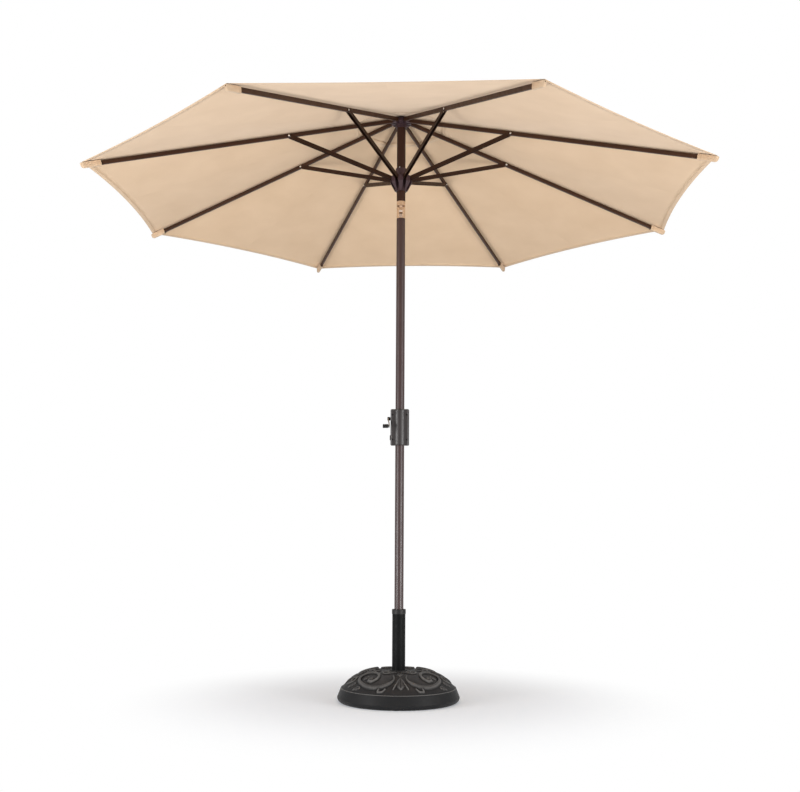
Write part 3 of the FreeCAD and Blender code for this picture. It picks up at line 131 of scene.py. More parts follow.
class Shader:
    """A node material that is built up in a few calls."""

    def __init__(self, name, roughness=0.5, metallic=0.0, **sockets):
        self.material = bpy.data.materials.new(name)
        self.material.use_nodes = True
        self.tree = self.material.node_tree
        self.bsdf = self.tree.nodes["Principled BSDF"]
        self.bsdf.inputs["Roughness"].default_value = roughness
        self.bsdf.inputs["Metallic"].default_value = metallic
        for socket, value in sockets.items():
            self.bsdf.inputs[socket.replace("_", " ")].default_value = value

    def node(self, kind, inputs=None, **props):
        """A new node, with each input set to a value or joined to another node's output."""
        made = self.tree.nodes.new("ShaderNode" + kind)
        for prop, value in props.items():
            setattr(made, prop, value)
        for socket, value in (inputs or {}).items():
            self.feed(made.inputs[socket], value)
        return made

    def feed(self, socket, value):
        if isinstance(value, bpy.types.NodeSocket):
            self.tree.links.new(value, socket)
        else:
            socket.default_value = value

    def place(self, scale=(1, 1, 1), layer=None):
        """Coordinates in metres: of the object, or of one of its UV layers."""
        if layer:
            source = self.node("UVMap", uv_map=layer).outputs["UV"]
        else:
            source = self.node("TexCoord").outputs["Object"]
        return self.node("Mapping", {"Vector": source, "Scale": scale}).outputs["Vector"]

    def split(self, vector):
        """The outputs X, Y and Z of a vector."""
        return self.node("SeparateXYZ", {"Vector": vector}).outputs

    def noise(self, scale, detail=3.0, stretch=(1, 1, 1), layer=None, roughness=0.5):
        made = self.node("TexNoise", {"Vector": self.place(stretch, layer), "Scale": scale,
                                      "Detail": detail, "Roughness": roughness})
        return made.outputs["Fac"]

    def math(self, operation, *values):
        made = self.node("Math", operation=operation)
        for socket, value in zip(made.inputs, values):
            self.feed(socket, value)
        return made.outputs[0]

    def radius(self, first, second):
        """The distance from zero of a point with these two coordinates."""
        squares = [self.math("MULTIPLY", value, value) for value in (first, second)]
        return self.math("SQRT", self.math("ADD", *squares))

    def span(self, value, low, high, to_low=0.0, to_high=1.0, smooth=False):
        """The value carried over from the range low to high into the range to_low to to_high."""
        made = self.node("MapRange", {"Value": value, "From Min": low, "From Max": high,
                                      "To Min": to_low, "To Max": to_high})
        made.interpolation_type = "SMOOTHSTEP" if smooth else "LINEAR"
        return made.outputs["Result"]

    def mix(self, share, first, second):
        """A mix of two colours. A Mix node has its colours at inputs 6 and 7 and at output 2."""
        made = self.node("Mix", data_type="RGBA")
        self.feed(made.inputs["Factor"], share)
        self.feed(made.inputs[6], first)
        self.feed(made.inputs[7], second)
        return made.outputs[2]

    def bump(self, height, strength, distance):
        """Relief, on top of any relief that the material already has."""
        made = self.node("Bump", {"Height": height, "Strength": strength, "Distance": distance})
        if self.bsdf.inputs["Normal"].is_linked:
            self.feed(made.inputs["Normal"], self.bsdf.inputs["Normal"].links[0].from_socket)
        self.feed(self.bsdf.inputs["Normal"], made.outputs["Normal"])

    def set(self, socket, value):
        self.feed(self.bsdf.inputs[socket], value)


def coated_metal(name, dark, light, roughness, gloss, stretch=(1, 1, 1), grain=0.15):
    """Powder-coated metal: slow colour change, fine grain, uneven gloss."""
    made = Shader(name, roughness, Specular_IOR_Level=gloss)
    slow = made.noise(9.0, 4.0, stretch)
    made.set("Base Color", made.mix(made.span(slow, 0.3, 0.7), dark, light))
    worn = made.noise(55.0, 4.0, stretch)
    made.set("Roughness", made.span(worn, 0.3, 0.7, roughness - 0.06, roughness + 0.08))
    made.bump(made.noise(900.0, 2.0), grain, 0.0003)
    return made.material


def brushed_metal(name, colour, roughness, stretch):
    """Bare metal with fine scratches along one direction."""
    made = Shader(name, roughness, 1.0)
    streaks = made.noise(160.0, 5.0, stretch, roughness=0.7)
    made.set("Base Color", made.mix(made.span(streaks, 0.3, 0.7), scaled(colour, 0.88), colour))
    made.set("Roughness", made.span(streaks, 0.3, 0.7, roughness - 0.05, roughness + 0.07))
    made.bump(streaks, 0.12, 0.0001)
    return made.material


def moulded_plastic(name, colour, roughness, grain=0.35, gloss=0.5):
    """Moulded plastic with a fine spark-eroded grain and faint wear."""
    made = Shader(name, roughness, Specular_IOR_Level=gloss)
    slow = made.noise(14.0, 3.0)
    made.set("Base Color", made.mix(made.span(slow, 0.35, 0.75), colour, scaled(colour, 1.25, 0.004)))
    worn = made.noise(70.0, 3.0)
    made.set("Roughness", made.span(worn, 0.3, 0.7, roughness - 0.03, roughness + 0.04))
    made.bump(made.noise(1400.0, 2.0), grain, 0.0002)
    return made.material


def canopy_cloth(name, colour, shade, relief=1.0):
    """Plain-woven polyester. The layer "cloth" lays the weave; "edge" holds the distance from the hem
    and from the seam over the rib, in metres. The weave repeats every 2 pi times weave_length, as a
    wave texture of scale 1 has 20 radians in a metre."""
    made = Shader(name, 0.86, Sheen_Weight=0.18, Sheen_Roughness=0.5, Specular_IOR_Level=0.25)
    weave_length = 0.0011
    waves = []
    for axis in ("X", "Y"):
        wave = made.node("TexWave", {"Vector": made.place(layer="cloth"), "Scale": 1 / weave_length / 20,
                                     "Distortion": 0.35, "Detail": 1.0, "Detail Scale": 2.0},
                         bands_direction=axis)
        waves.append(wave.outputs["Fac"])
    weave = made.math("MULTIPLY", *waves)
    slubs = made.noise(420.0, 2.0, (1, 0.12, 1), "cloth")
    soft = made.noise(5.0, 3.0, layer="cloth")
    hem, seam, _ = made.split(made.node("UVMap", uv_map="edge").outputs["UV"])
    folded = made.math("LESS_THAN", hem, HEM_FOLD)
    stitches = made.math("MAXIMUM", made.math("COMPARE", hem, HEM_STITCH, STITCH_HALF),
                         made.math("COMPARE", seam, SEAM_STITCH, STITCH_HALF))
    tone = made.mix(made.span(soft, 0.3, 0.7), colour, shade)
    tone = made.mix(made.span(slubs, 0.45, 0.8, 0.0, 0.16), tone, shade)
    darker = scaled(shade, 0.80)
    # The turned hem is darker: painted shade, as its double layer would let less light through the
    # cloth.
    tone = made.mix(made.math("MULTIPLY", folded, 0.30), tone, darker)
    tone = made.mix(made.math("MULTIPLY", stitches, 0.35), tone, darker)
    made.set("Base Color", tone)
    pucker = made.noise(38.0, 2.0, (1, 0.35, 1), "cloth")
    near = made.math("MAXIMUM", made.span(hem, 0.0, 0.05, 1.0, 0.0),
                     made.span(seam, 0.0, 0.03, 1.0, 0.0))
    made.bump(made.math("MULTIPLY", pucker, near), 0.3 * relief, 0.002)
    made.bump(weave, 0.12 * relief, 0.0002)
    return made.material


def aged_bronze(name, ground_tones, roughness):
    """Dark bronze paint over cast stone. The attributes "crest" and "hollow" run from 0 to 1 over the
    edges of the carving, which are rubbed lighter and get a painted highlight, and in its hollows, which
    hold a dark wash and painted shade. Painted shade darkens the dome towards its rim, and the rim's
    edge gets a painted highlight."""
    rim_highlight_half, edge_depth = 0.0018, 0.002
    shade_start, shade_end = 0.185, 0.225
    made = Shader(name, roughness, Specular_IOR_Level=0.15)
    crest = made.node("Attribute", attribute_name="crest").outputs["Fac"]
    hollow = made.node("Attribute", attribute_name="hollow").outputs["Fac"]
    slow = made.noise(26.0, 5.0, roughness=0.62)
    fine = made.noise(160.0, 5.0, roughness=0.65)
    tone = made.mix(made.span(slow, 0.35, 0.68), *ground_tones)
    # The hollows get a dark wash, which is also painted shade in the carving's recesses.
    wash_and_shade = made.mix(made.span(slow, 0.4, 0.6), linear(10, 10, 10), linear(24, 25, 21))
    tone = made.mix(made.math("MULTIPLY", hollow, 0.9), tone, wash_and_shade)
    # The crests are lighter: rub on the carving's edges, with a painted highlight over it.
    worn = made.math("MULTIPLY", crest, made.span(fine, 0.25, 0.65, 0.55, 1.0))
    x, y, z = made.split(made.place())
    reach = made.radius(x, y)
    # A painted highlight along the rim's top edge, added to worn below.
    on_rim = made.math("COMPARE", reach, RIM_EDGE, rim_highlight_half)
    on_top = made.math("GREATER_THAN", z, DOME_LOW - edge_depth)
    rim = made.math("MULTIPLY", on_rim, on_top)
    worn = made.math("MAXIMUM", worn, made.math("MULTIPLY", rim, 0.8))
    # Painted shade: darker towards the rim, where the dome's slope takes less light.
    rim_shade = made.span(reach, shade_start, shade_end, 0.0, 0.7)
    tone = made.mix(rim_shade, tone, scaled(ground_tones[0], 0.6))
    # The light tone of the crests' rub and painted highlight, and of the rim's painted highlight.
    tone = made.mix(worn, tone, linear(112, 110, 108))
    made.set("Base Color", tone)
    made.set("Roughness", made.span(fine, 0.25, 0.75, roughness - 0.08, roughness + 0.12))
    made.bump(fine, 0.4, 0.0012)
    made.bump(made.noise(620.0, 3.0), 0.35, 0.0004)
    return made.material


def crank_metal(name):
    """The crank's bright arm with a blackened hub round the crank's axis."""
    made = Shader(name, 0.34, 1.0)
    _, y, z = made.split(made.place())
    off = made.radius(made.math("SUBTRACT", z, CRANK_Z), y)
    streaks = made.noise(160.0, 5.0, (8, 1, 1), roughness=0.7)
    bright = made.mix(made.span(streaks, 0.3, 0.7), linear(160, 159, 158), linear(182, 181, 180))
    hub = made.math("LESS_THAN", off, CRANK_HUB_R)
    made.set("Base Color", made.mix(hub, bright, linear(34, 31, 31)))
    made.bump(streaks, 0.12, 0.0001)
    return made.material


# Stretches a noise into streaks along a pole
ALONG_POLE = (6, 6, 0.25)

FABRIC = canopy_cloth("beige_weave", linear(228, 197, 162), linear(220, 188, 152))
POCKET = canopy_cloth("beige_weave_pocket", linear(210, 182, 151), linear(200, 171, 140), 0.4)
POLE = coated_metal("bronze_pole", linear(54, 34, 33), linear(63, 41, 39), 0.37, 0.65,
                    ALONG_POLE, 0.05)
# The upper pole's paint is the lower pole's paint made darker: painted shade of the canopy over it.
POLE_TOP_PAINTED_SHADE = coated_metal("bronze_pole_top_painted_shade", linear(47, 26, 18), linear(55, 32, 24), 0.40, 0.25,
                        ALONG_POLE, 0.05)
FRAME = coated_metal("bronze_frame", linear(52, 28, 14), linear(62, 36, 21), 0.42, 0.3)
STRUT = coated_metal("bronze_strut", linear(43, 22, 9), linear(51, 28, 14), 0.44, 0.25)
STEM = coated_metal("stem_coat", linear(12, 13, 13), linear(18, 19, 19), 0.50, 0.12)
BLACKENED = coated_metal("blackened_screw", linear(8, 8, 8), linear(14, 13, 13), 0.55, 0.15)
KNUCKLE = brushed_metal("knuckle_metal", linear(240, 220, 202), 0.24, (1, 1, 14))
BUTTON = brushed_metal("button_metal", linear(214, 196, 181), 0.5, (1, 1, 14))
ZINC = brushed_metal("zinc_steel", linear(196, 196, 194), 0.30, (8, 1, 1))
CRANK = crank_metal("crank_metal")
RIVET = brushed_metal("rivet_zinc", linear(232, 226, 220), 0.28, (1, 1, 1))
BLACK = moulded_plastic("black_plastic", linear(22, 20, 20), 0.46, gloss=0.35)
HOUSING = moulded_plastic("housing_plastic", linear(31, 23, 23), 0.38, 0.05, 0.85)
HUB = moulded_plastic("hub_plastic", linear(62, 44, 48), 0.46, gloss=0.25)
NYLON = moulded_plastic("nylon", linear(216, 214, 208), 0.45)
RUBBER = moulded_plastic("pad_rubber", linear(28, 28, 28), 0.75, 0.6)
CARVED = aged_bronze("carved_bronze", (linear(48, 47, 48), linear(62, 60, 60)), 0.42)
BAND = aged_bronze("band_bronze", (linear(42, 42, 43), linear(50, 49, 50)), 0.42)

DRESS = {
    BAND: ["base_weight"],
    RUBBER: ["base_feet"],
    STEM: ["stem_tube"],
    ZINC: ["stem_bolt", "clamp_stud", "crank_spool", "grip_pin", "tilt_pin", "button_spring",
           "head_pins"],
    CRANK: ["crank_arm"],
    BLACKENED: ["housing_screws"],
    BLACK: ["stem_bush", "clamp_knob", "pole_foot_plug", "crank_grip"],
    HOUSING: ["crank_housing_front", "crank_housing_rear"],
    POLE: ["lower_pole"],
    POLE_TOP_PAINTED_SHADE: ["upper_pole"],
    KNUCKLE: ["tilt_fork", "tilt_tongue"],
    BUTTON: ["tilt_button"],
    HUB: ["top_hub", "runner", "finial"],
    NYLON: ["cord_pulley"],
    FRAME: [f"rib_{i}" for i in RIBS],
    STRUT: [f"strut_{i}" for i in RIBS],
    FABRIC: [f"canopy_panel_{i}" for i in RIBS] + [f"vent_panel_{i}" for i in RIBS],
}
for material, names in DRESS.items():
    for name in names:
        for slot in frame["nodes"][name].material_slots:
            slot.material = material


# Mesh helpers

def piece(name, points, faces, material, smooth=True, uvs=None, sharp=None, attributes=None):
    """A mesh object. uvs maps a layer to one (u, v) for each point, attributes maps a name to one
    number for each point, and sharp(a, b) says whether the edge between two points is sharp."""
    mesh = bpy.data.meshes.new(name)
    mesh.from_pydata([tuple(p) for p in points], [], [tuple(f) for f in faces])
    mesh.validate()
    for layer, values in (uvs or {}).items():
        uv = mesh.uv_layers.new(name=layer)
        index = np.empty(len(mesh.loops), int)
        mesh.loops.foreach_get("vertex_index", index)
        uv.data.foreach_set("uv", np.asarray(values, float)[index].ravel())
    for key, values in (attributes or {}).items():
        mesh.attributes.new(key, "FLOAT", "POINT").data.foreach_set("value", np.asarray(values, float))
    mesh.polygons.foreach_set("use_smooth", [smooth] * len(mesh.polygons))
    if sharp:
        for edge in mesh.edges:
            edge.use_edge_sharp = bool(sharp(*edge.vertices))
    mesh.materials.append(material)
    made = bpy.data.objects.new(name, mesh)
    bpy.context.scene.collection.objects.link(made)
    return made


def grid_faces(rows, columns, closed=False, start=0, flip=False):
    """Quads between rows of points; closed joins the last column to the first."""
    faces = []
    for row in range(rows - 1):
        for column in range(columns if closed else columns - 1):
            a = start + row * columns + column
            b = start + row * columns + (column + 1) % columns
            quad = (a, b, b + columns, a + columns)
            faces.append(quad[::-1] if flip else quad)
    return faces


def rib_angle(index):
    return (2 * index - 1) * HALF_GORE


def turned(points, index):
    """Points that are given with the rib along +X, turned to where the rib is."""
    return np.asarray(points) @ np.array(Matrix.Rotation(rib_angle(index), 3, "Z")).T


# Canopy

def gore(x, v, apex, fall, sag, inner, outer):
    """A point of the cloth: x is the rib radius of its row, v runs from -1 to 1 between the middles of
    the gores on the two sides of the rib."""
    slack = (1 - math.cos(math.pi * v)) / 2
    depth = sag * math.sin(math.pi * min(1.0, max(0.0, (x - inner) / (outer - inner)))) * slack
    return (
        x * (1 - abs(v) * math.sin(HALF_GORE) ** 2),
        v * x * math.sin(HALF_GORE) * math.cos(HALF_GORE),
        apex - x * fall - depth,
    )


def cloth_panel(name, index, apex, fall, inner, outer, scallop, sag, rows, inner_hem=False):
    """The cloth over one rib, with its outer hem turned under, and its inner one if asked. The hem's
    curve goes in by scallop and the cloth sags by sag, both most at the middle of a gore."""
    columns = 29
    spread = [2 * k / (columns - 1) - 1 for k in range(columns)]
    strips = [(k / (rows - 1), 0.0, 0.0) for k in range(rows)]
    strips += [(1.0, -HEM_BEND, HEM_DROP), (1.0, -HEM_FOLD, HEM_DROP)]
    if inner_hem:
        strips = [(0.0, HEM_FOLD, HEM_DROP), (0.0, HEM_BEND, HEM_DROP)] + strips
    points, cloth, edge = [], [], []
    for share, shift, drop in strips:
        for v in spread:
            bow = 1 - (1 - abs(v)) ** 2
            reach = outer - scallop / math.cos(HALF_GORE) * bow
            x = inner + (reach - inner) * share + shift
            out, side, up = gore(x, v, apex, fall, sag, inner, outer)
            points.append((out, side, up - drop))
            cloth.append((side, out / math.cos(SLOPE)))
            from_hem = min(reach - x, x - inner if inner_hem else 1.0)
            edge.append((max(0.0, from_hem) / math.cos(SLOPE), abs(side)))

    def over_rib(a, b):
        return a % columns == b % columns == columns // 2

    return piece(name, turned(points, index), grid_faces(len(strips), columns), FABRIC,
                 uvs={"cloth": cloth, "edge": edge}, sharp=over_rib)


for i in RIBS:
    cloth = cloth_panel(f"canopy_{i}", i, APEX_Z, CANOPY_FALL, HOLE_R, CANOPY_R,
                        scallop=0.024, sag=0.007, rows=34, inner_hem=True)
    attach(cloth, f"rib_{i}")
    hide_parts(f"canopy_panel_{i}")
    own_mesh(cloth)
    cap = cloth_panel(f"vent_{i}", i, VENT_APEX_Z, VENT_FALL, VENT_IN, VENT_R,
                      scallop=0.006, sag=0.002, rows=12)
    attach(cap, f"rib_{i}")
    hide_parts(f"vent_panel_{i}")
    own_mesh(cap)


def vent_crown():
    """The cloth's middle, held between the hub and the finial."""
    radii = [0.0045, 0.012, 0.020, 0.028, 0.036, CROWN_R]
    columns = 64
    points, cloth = [], []
    for radius in radii:
        for k in range(columns):
            angle = 2 * math.pi * k / columns
            x, y = radius * math.cos(angle), radius * math.sin(angle)
            from_rib = abs((angle / (2 * HALF_GORE)) % 1 - 0.5) * 2 * HALF_GORE
            fall = radius / math.cos(HALF_GORE) * math.cos(HALF_GORE - from_rib) * VENT_FALL
            points.append((x, y, VENT_APEX_Z + CROWN_LIFT - fall))
            cloth.append((x, y))
    edge = [(1.0, 1.0)] * len(points)
    return piece("vent_crown", points, grid_faces(len(radii), columns, closed=True), FABRIC,
                 uvs={"cloth": cloth, "edge": edge})


crown = vent_crown()
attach(crown, "upper")


def rib_point(s, t, n):
    """A point in a rib's own sloping frame: s along the rib from its hinge, t across, n up from it."""
    return (
        HINGE_R + s * math.cos(SLOPE) + n * math.sin(SLOPE),
        t,
        HINGE_Z - s * math.sin(SLOPE) + n * math.cos(SLOPE),
    )


def tip_pocket(index):
    """The cloth sleeve that a rib's end is pushed into, under the canopy's corner. Its section is a
    flat-sided U, a little wider at the mouth, and closes round the nose."""
    start, end, nose = RIB_LENGTH - POCKET_LENGTH, RIB_LENGTH + 0.003, 0.012
    top, bottom, half = 0.0100, -0.0122, 0.0076
    squareness, wrap = 0.45, 0.02
    mouth_flare, mouth_length = 0.14, 0.02
    ripple, ripple_pitch = 0.06, 46
    lengths = [start, start + 0.002, start + 0.012, start + 0.025, start + 0.045, end - nose]
    lengths += [end - nose + nose * math.sin(k * math.pi / 12) for k in range(1, 7)]
    section = []
    for k in range(19):
        a = math.pi * k / 18
        section.append((math.copysign(abs(math.cos(a)) ** squareness, math.cos(a)),
                        abs(math.sin(a)) ** squareness))
    points, cloth, edge = [], [], []
    for s in lengths:
        nearing = max(0.0, (s - (end - nose)) / nose)
        shrink = math.sqrt(max(0.0, 1 - nearing**2))
        flare = 1.0 + mouth_flare * math.exp(-(s - start) / mouth_length)
        swell = 1.0 + ripple * math.sin((s - start) * ripple_pitch) * (1 - nearing)
        for wide, deep in section:
            t = wide * half * (0.25 + 0.75 * shrink) * flare * swell
            n = top - deep * (top - bottom) * (0.30 + 0.70 * shrink) * (1 + (flare - 1) * 0.5)
            points.append(rib_point(s, t, n))
            cloth.append((s, wide * wrap))
            edge.append((max(0.0, s - start), 1.0))
    faces = grid_faces(len(lengths), len(section), flip=True)
    return piece(f"tip_pocket_{index}", turned(points, index), faces, POCKET,
                 uvs={"cloth": cloth, "edge": edge})


for i in RIBS:
    pocket = tip_pocket(i)
    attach(pocket, f"rib_{i}")


# Rivets

def round_head(radius, height, rings=6, columns=20):
    """A rivet head's points and faces, over the plane z = 0."""
    points = [(0, 0, height)]
    for ring in range(1, rings + 1):
        a = math.pi / 2 * ring / rings
        for k in range(columns):
            b = 2 * math.pi * k / columns
            points.append((radius * math.sin(a) * math.cos(b), radius * math.sin(a) * math.sin(b),
                           height * math.cos(a)))
    faces = [(0, 1 + k, 1 + (k + 1) % columns) for k in range(columns)]
    faces += grid_faces(rings, columns, closed=True, start=1, flip=True)
    return points, faces


def rivet_heads(index):
    """The two heads of the rivet between rib and strut, on the strut's sides."""
    head, head_faces = round_head(radius=0.0046, height=0.0021)
    points, faces = [], []
    for side in (-1, 1):
        faces += [tuple(len(points) + k for k in face[::-1]) for face in head_faces]
        points += [rib_point(RIVET_S + x, side * (STRUT_SIDE + z), side * y) for x, y, z in head]
    return piece(f"rivet_heads_{index}", turned(points, index), faces, RIVET)


for i in RIBS:
    heads = rivet_heads(i)
    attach(heads, f"strut_{i}")


# Carved skin of the base

CARVED_IN, CARVED_OUT = 0.0365, 0.2335
CARVING_TURN = math.radians(5)


def dome_height(radius):
    """The plain dome's height at a radius."""
    run, rise = DOME_IN - DOME_OUT, DOME_TOP - DOME_LOW
    chord = math.hypot(run, rise)
    far = math.sqrt(DOME_CURVE**2 - chord**2 / 4)
    centre_r = (DOME_IN + DOME_OUT) / 2 - rise / chord * far
    centre_z = (DOME_TOP + DOME_LOW) / 2 + run / chord * far
    curved = centre_z + np.sqrt(np.maximum(0, DOME_CURVE**2 - (radius - centre_r) ** 2))
    return np.where(radius < DOME_IN, DOME_TOP, curved)


def smooth_line(points, count):
    """A Catmull-Rom curve through points, as count short steps."""
    ended = np.array([points[0], *points, points[-1]], float)
    line = []
    spans = len(points) - 1
    for k in range(count + 1):
        at = min(k * spans / count, spans - 1e-9)
        first = int(at)
        t = at - first
        a, b, c, d = ended[first:first + 4]
        line.append(0.5 * (2 * b + (c - a) * t + (2 * a - 5 * b + 4 * c - d) * t**2
                           + (3 * b - a - 3 * c + d) * t**3))
    return np.array(line)


def nearest(line, x, y):
    """Distance to a line of points and the share of the way along it, for arrays of places."""
    best = np.full(x.shape, 1e9)
    way = np.zeros(x.shape)
    steps = np.hypot(*(line[1:] - line[:-1]).T)
    total, done = steps.sum(), 0.0
    for (ax, ay), (bx, by), step in zip(line[:-1], line[1:], steps):
        t = np.clip(((x - ax) * (bx - ax) + (y - ay) * (by - ay)) / max(step**2, 1e-9), 0, 1)
        d = np.hypot(x - ax - t * (bx - ax), y - ay - t * (by - ay))
        closer = d < best
        best = np.where(closer, d, best)
        way = np.where(closer, (done + t * step) / total, way)
        done += step
    return best, way


def ridge(points, count, x, y, widths, heights):
    """A rounded ridge along a smooth line, from one width and height to another, growing from a
    thinner start."""
    away, way = nearest(smooth_line(points, count), x, y)
    grown = np.clip(way / 0.15, 0.45, 1)
    width = (widths[0] + (widths[1] - widths[0]) * way) * grown
    height = (heights[0] + (heights[1] - heights[0]) * way) * grown
    return height * np.sqrt(np.clip(1 - (away / width) ** 2, 0, 1))


def boss(centre, radius, height, x, y):
    """A round swelling."""
    away = np.hypot(x - centre[0], y - centre[1])
    return height * np.sqrt(np.clip(1 - away**2 / radius**2, 0, 1))


def leaf(root, tip, x, y, width, height, lobes, bend=0.0):
    """A lobed leaf with a sunk midrib and veins, bowed sideways by bend."""
    root, tip = np.array(root, float), np.array(tip, float)
    along = tip - root
    length = np.hypot(*along)
    along /= length
    s = ((x - root[0]) * along[0] + (y - root[1]) * along[1]) / length
    t = -(x - root[0]) * along[1] + (y - root[1]) * along[0]
    t -= bend * np.sin(np.pi * np.clip(s, 0, 1))
    shape = np.sin(np.pi * np.clip(s, 0, 1) ** 0.75)
    lobed = 0.80 + 0.20 * np.abs(np.sin(lobes * np.pi * np.clip(s + np.abs(t) / length * 0.6, 0, 1)))
    half = np.maximum(width * shape * lobed, 1e-6)
    inside = np.clip(1 - (t / half) ** 2, 0, 1) * ((s > 0) & (s < 1))
    veins = 0.86 + 0.14 * np.abs(np.sin(lobes * np.pi * (s + np.abs(t) / length * 1.1)))
    midrib = 1 - 0.35 * np.exp(-(t / 1.6) ** 2)
    return height * np.sqrt(inside) * veins * midrib


def carving(radius, angle):
    """The relief over the dome, in millimetres, at arrays of radius in metres and angle. It is drawn
    in one quarter, with x forward and y sideways in millimetres, and mirrored into the others."""
    folded = np.abs((angle + math.pi - CARVING_TURN) % math.pi - math.pi / 2)
    x, y = radius * 1000 * np.cos(folded), radius * 1000 * np.sin(folded)
    scroll = [(130, 27), (156, 25), (177, 34), (190, 54), (193, 82), (182, 112), (158, 139),
              (122, 158), (88, 163), (64, 146), (62, 114), (84, 91), (114, 84), (140, 92),
              (149, 113), (136, 127)]
    branch = [(193, 82), (207, 92), (214, 76), (206, 62)]
    near_stem = [(64, 10), (84, 22), (100, 44), (94, 64), (74, 66), (66, 50), (78, 44)]
    side_curl = [(36, 214), (60, 204), (70, 184), (52, 172), (36, 184), (44, 194)]
    inner_curl = [(16, 72), (34, 84), (38, 108), (22, 120), (8, 110), (14, 98)]
    sprout = [(160, 2), (182, 11), (212, 30)]
    parts = [
        ridge(scroll, 90, x, y, (8.5, 5.5), (8.0, 8.6)),
        ridge(branch, 16, x, y, (5.0, 3.0), (5.6, 4.0)),
        ridge(near_stem, 36, x, y, (5.5, 3.6), (5.6, 6.0)),
        ridge(side_curl, 30, x, y, (5.0, 3.2), (5.2, 5.6)),
        ridge(inner_curl, 30, x, y, (5.0, 3.4), (5.2, 5.6)),
        ridge(sprout, 12, x, y, (3.6, 3.0), (6.4, 4.4)),
        boss((126, 118), 13, 8.0, x, y),
        leaf((218, 0), (150, 0), x, y, 20, 5.6, 2),
        leaf((104, 0), (142, 0), x, y, 14, 5.0, 2),
        leaf((98, 122), (112, 148), x, y, 11, 5.4, 2),
        leaf((0, 132), (0, 222), x, y, 24, 6.2, 4),
        leaf((104, 176), (86, 212), x, y, 12, 5.0, 3, 4),
        leaf((150, 160), (128, 196), x, y, 10, 4.6, 3, 3),
        leaf((50, 92), (34, 138), x, y, 12, 5.0, 3, 3),
        leaf((58, 30), (44, 58), x, y, 10, 4.4, 2),
    ]
    return np.maximum.reduce(parts)


def blurred(values, reach):
    """The mean over a square of neighbours. The columns go round and the rows end at the edge."""
    width = 2 * reach + 1
    across = sum(np.roll(values, k, axis=1) for k in range(-reach, reach + 1)) / width
    padded = np.pad(across, ((reach, reach), (0, 0)), mode="edge")
    return sum(padded[k:k + len(values)] for k in range(width)) / width


def round_points(radius, angle, height):
    """One row of x, y and z for each place of three arrays."""
    return np.stack([radius * np.cos(angle), radius * np.sin(angle), height], axis=-1).reshape(-1, 3)


def base_relief():
    """A closed skin on the dome, which stands 0.6 mm proud between the carving and runs out at its
    two edges."""
    rows, columns, rows_under = 160, 760, 20
    proud, sunk, run_out = 0.0006, 0.0008, 0.003
    crest_rise, hollow_depth = 2.2, 1.8
    angles = np.arange(columns) * 2 * math.pi / columns
    radius, angle = np.meshgrid(np.linspace(CARVED_IN, CARVED_OUT, rows), angles, indexing="ij")
    fade = (np.clip((CARVED_OUT - radius) / run_out, 0, 1)
            * np.clip((radius - CARVED_IN) / run_out, 0, 1))
    cut = carving(radius, angle) * fade
    top = round_points(radius, angle, dome_height(radius) + proud + cut / 1000)
    radius, angle = np.meshgrid(np.linspace(CARVED_OUT, CARVED_IN, rows_under), angles, indexing="ij")
    under = round_points(radius, angle, dome_height(radius) - sunk)
    faces = grid_faces(rows + rows_under, columns, closed=True, flip=True)
    last = (rows + rows_under - 1) * columns
    faces += [(k, last + k, last + (k + 1) % columns, (k + 1) % columns) for k in range(columns)]
    # Crest and hollow mark where the carving rises above or sinks below its local mean; the material
    # puts rub and a painted highlight on the first, and a dark wash and painted shade in the second.
    over = cut - blurred(cut, 4)
    bare = np.zeros(len(under))
    crest = np.concatenate([np.clip(over / crest_rise, 0, 1).ravel(), bare])
    hollow = np.concatenate([np.clip(-over / hollow_depth, 0, 1).ravel(), bare])
    return piece("base_carving", np.concatenate([top, under]), faces, CARVED,
                 attributes={"crest": crest, "hollow": hollow})


carved = base_relief()
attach(carved, "base")


# Stage and light

def flat_sheet(name, half, level, material):
    """A level square round the Z axis, half to each side."""
    points = [(-half, -half, level), (half, -half, level), (half, half, level), (-half, half, level)]
    return piece(name, points, [(0, 1, 2, 3)], material, smooth=False)


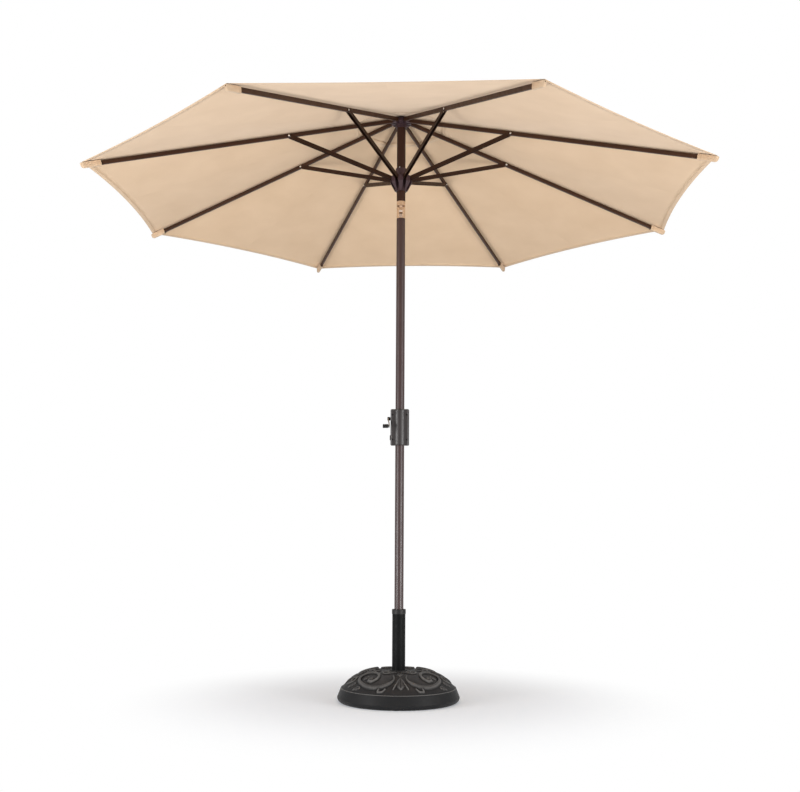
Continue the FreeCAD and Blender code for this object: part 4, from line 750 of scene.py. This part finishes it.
def floor_material():
    """White for the camera and in reflections, with the object's shadow where it is near."""
    shadow_full, shadow_end, lift = 0.35, 1.25, 0.22
    made = Shader("floor", 0.9, Specular_IOR_Level=0.1)
    made.set("Base Color", (0.76, 0.79, 0.84, 1.0))
    path = made.node("LightPath").outputs
    mirrored = made.math("MAXIMUM", path["Is Glossy Ray"], path["Is Transmission Ray"])
    seen = made.math("MAXIMUM", path["Is Camera Ray"], mirrored)
    spot = made.node("TexCoord").outputs["Object"]
    away = made.node("VectorMath", {0: spot}, operation="LENGTH").outputs["Value"]
    far = made.math("MULTIPLY", seen, made.span(away, shadow_full, shadow_end, smooth=True))
    white = made.node("Emission", {"Color": (1, 1, 1, 1), "Strength": 1.0})
    glow = made.node("Emission", {"Color": (1, 1, 1, 1), "Strength": made.math("MULTIPLY", seen, lift)})
    near = made.node("AddShader", {0: made.bsdf.outputs[0], 1: glow.outputs[0]})
    blend = made.node("MixShader", {0: far, 1: near.outputs[0], 2: white.outputs[0]})
    made.feed(made.tree.nodes["Material Output"].inputs["Surface"], blend.outputs[0])
    return made.material


flat_sheet("floor", 12.0, 0.0, floor_material())


def world():
    """White where the camera sees it, straight or through glass, and a soft fill light elsewhere."""
    fill = 0.46
    made = bpy.data.worlds.new("world")
    made.use_nodes = True
    tree = made.node_tree
    back = tree.nodes["Background"]
    back.inputs["Color"].default_value = (1, 1, 1, 1)
    path = tree.nodes.new("ShaderNodeLightPath")
    seen = tree.nodes.new("ShaderNodeMath")
    seen.operation = "MAXIMUM"
    level = tree.nodes.new("ShaderNodeMapRange")
    level.inputs["To Min"].default_value = fill
    level.inputs["To Max"].default_value = 1.0
    tree.links.new(path.outputs["Is Camera Ray"], seen.inputs[0])
    tree.links.new(path.outputs["Is Transmission Ray"], seen.inputs[1])
    tree.links.new(seen.outputs[0], level.inputs["Value"])
    tree.links.new(level.outputs["Result"], back.inputs["Strength"])
    bpy.context.scene.world = made


world()


def lamp(name, place, target, size, power):
    """An area lamp at a place that points at a target."""
    data = bpy.data.lights.new(name, "AREA")
    data.shape = "RECTANGLE"
    data.size, data.size_y = size
    data.energy = power
    made = bpy.data.objects.new(name, data)
    aim = (Vector(target) - Vector(place)).to_track_quat("-Z", "Y")
    made.matrix_world = Matrix.Translation(place) @ aim.to_matrix().to_4x4()
    bpy.context.scene.collection.objects.link(made)


lamp("left", (-3.6, -2.0, 1.5), (0, 0, 1.3), (0.9, 2.6), 39)
lamp("right", (3.6, -2.0, 1.5), (0, 0, 1.3), (0.9, 2.6), 39)
lamp("over", (0, -1.0, 5.2), (0, 0, 2.0), (4.0, 4.0), 96)
lamp("low_left", (-2.6, -2.4, 0.5), (0, 0.7, 2.4), (1.2, 0.7), 46)
lamp("low_right", (2.6, -2.4, 0.5), (0, 0.7, 2.4), (1.2, 0.7), 46)

bpy.context.scene.view_settings.view_transform = "Standard"
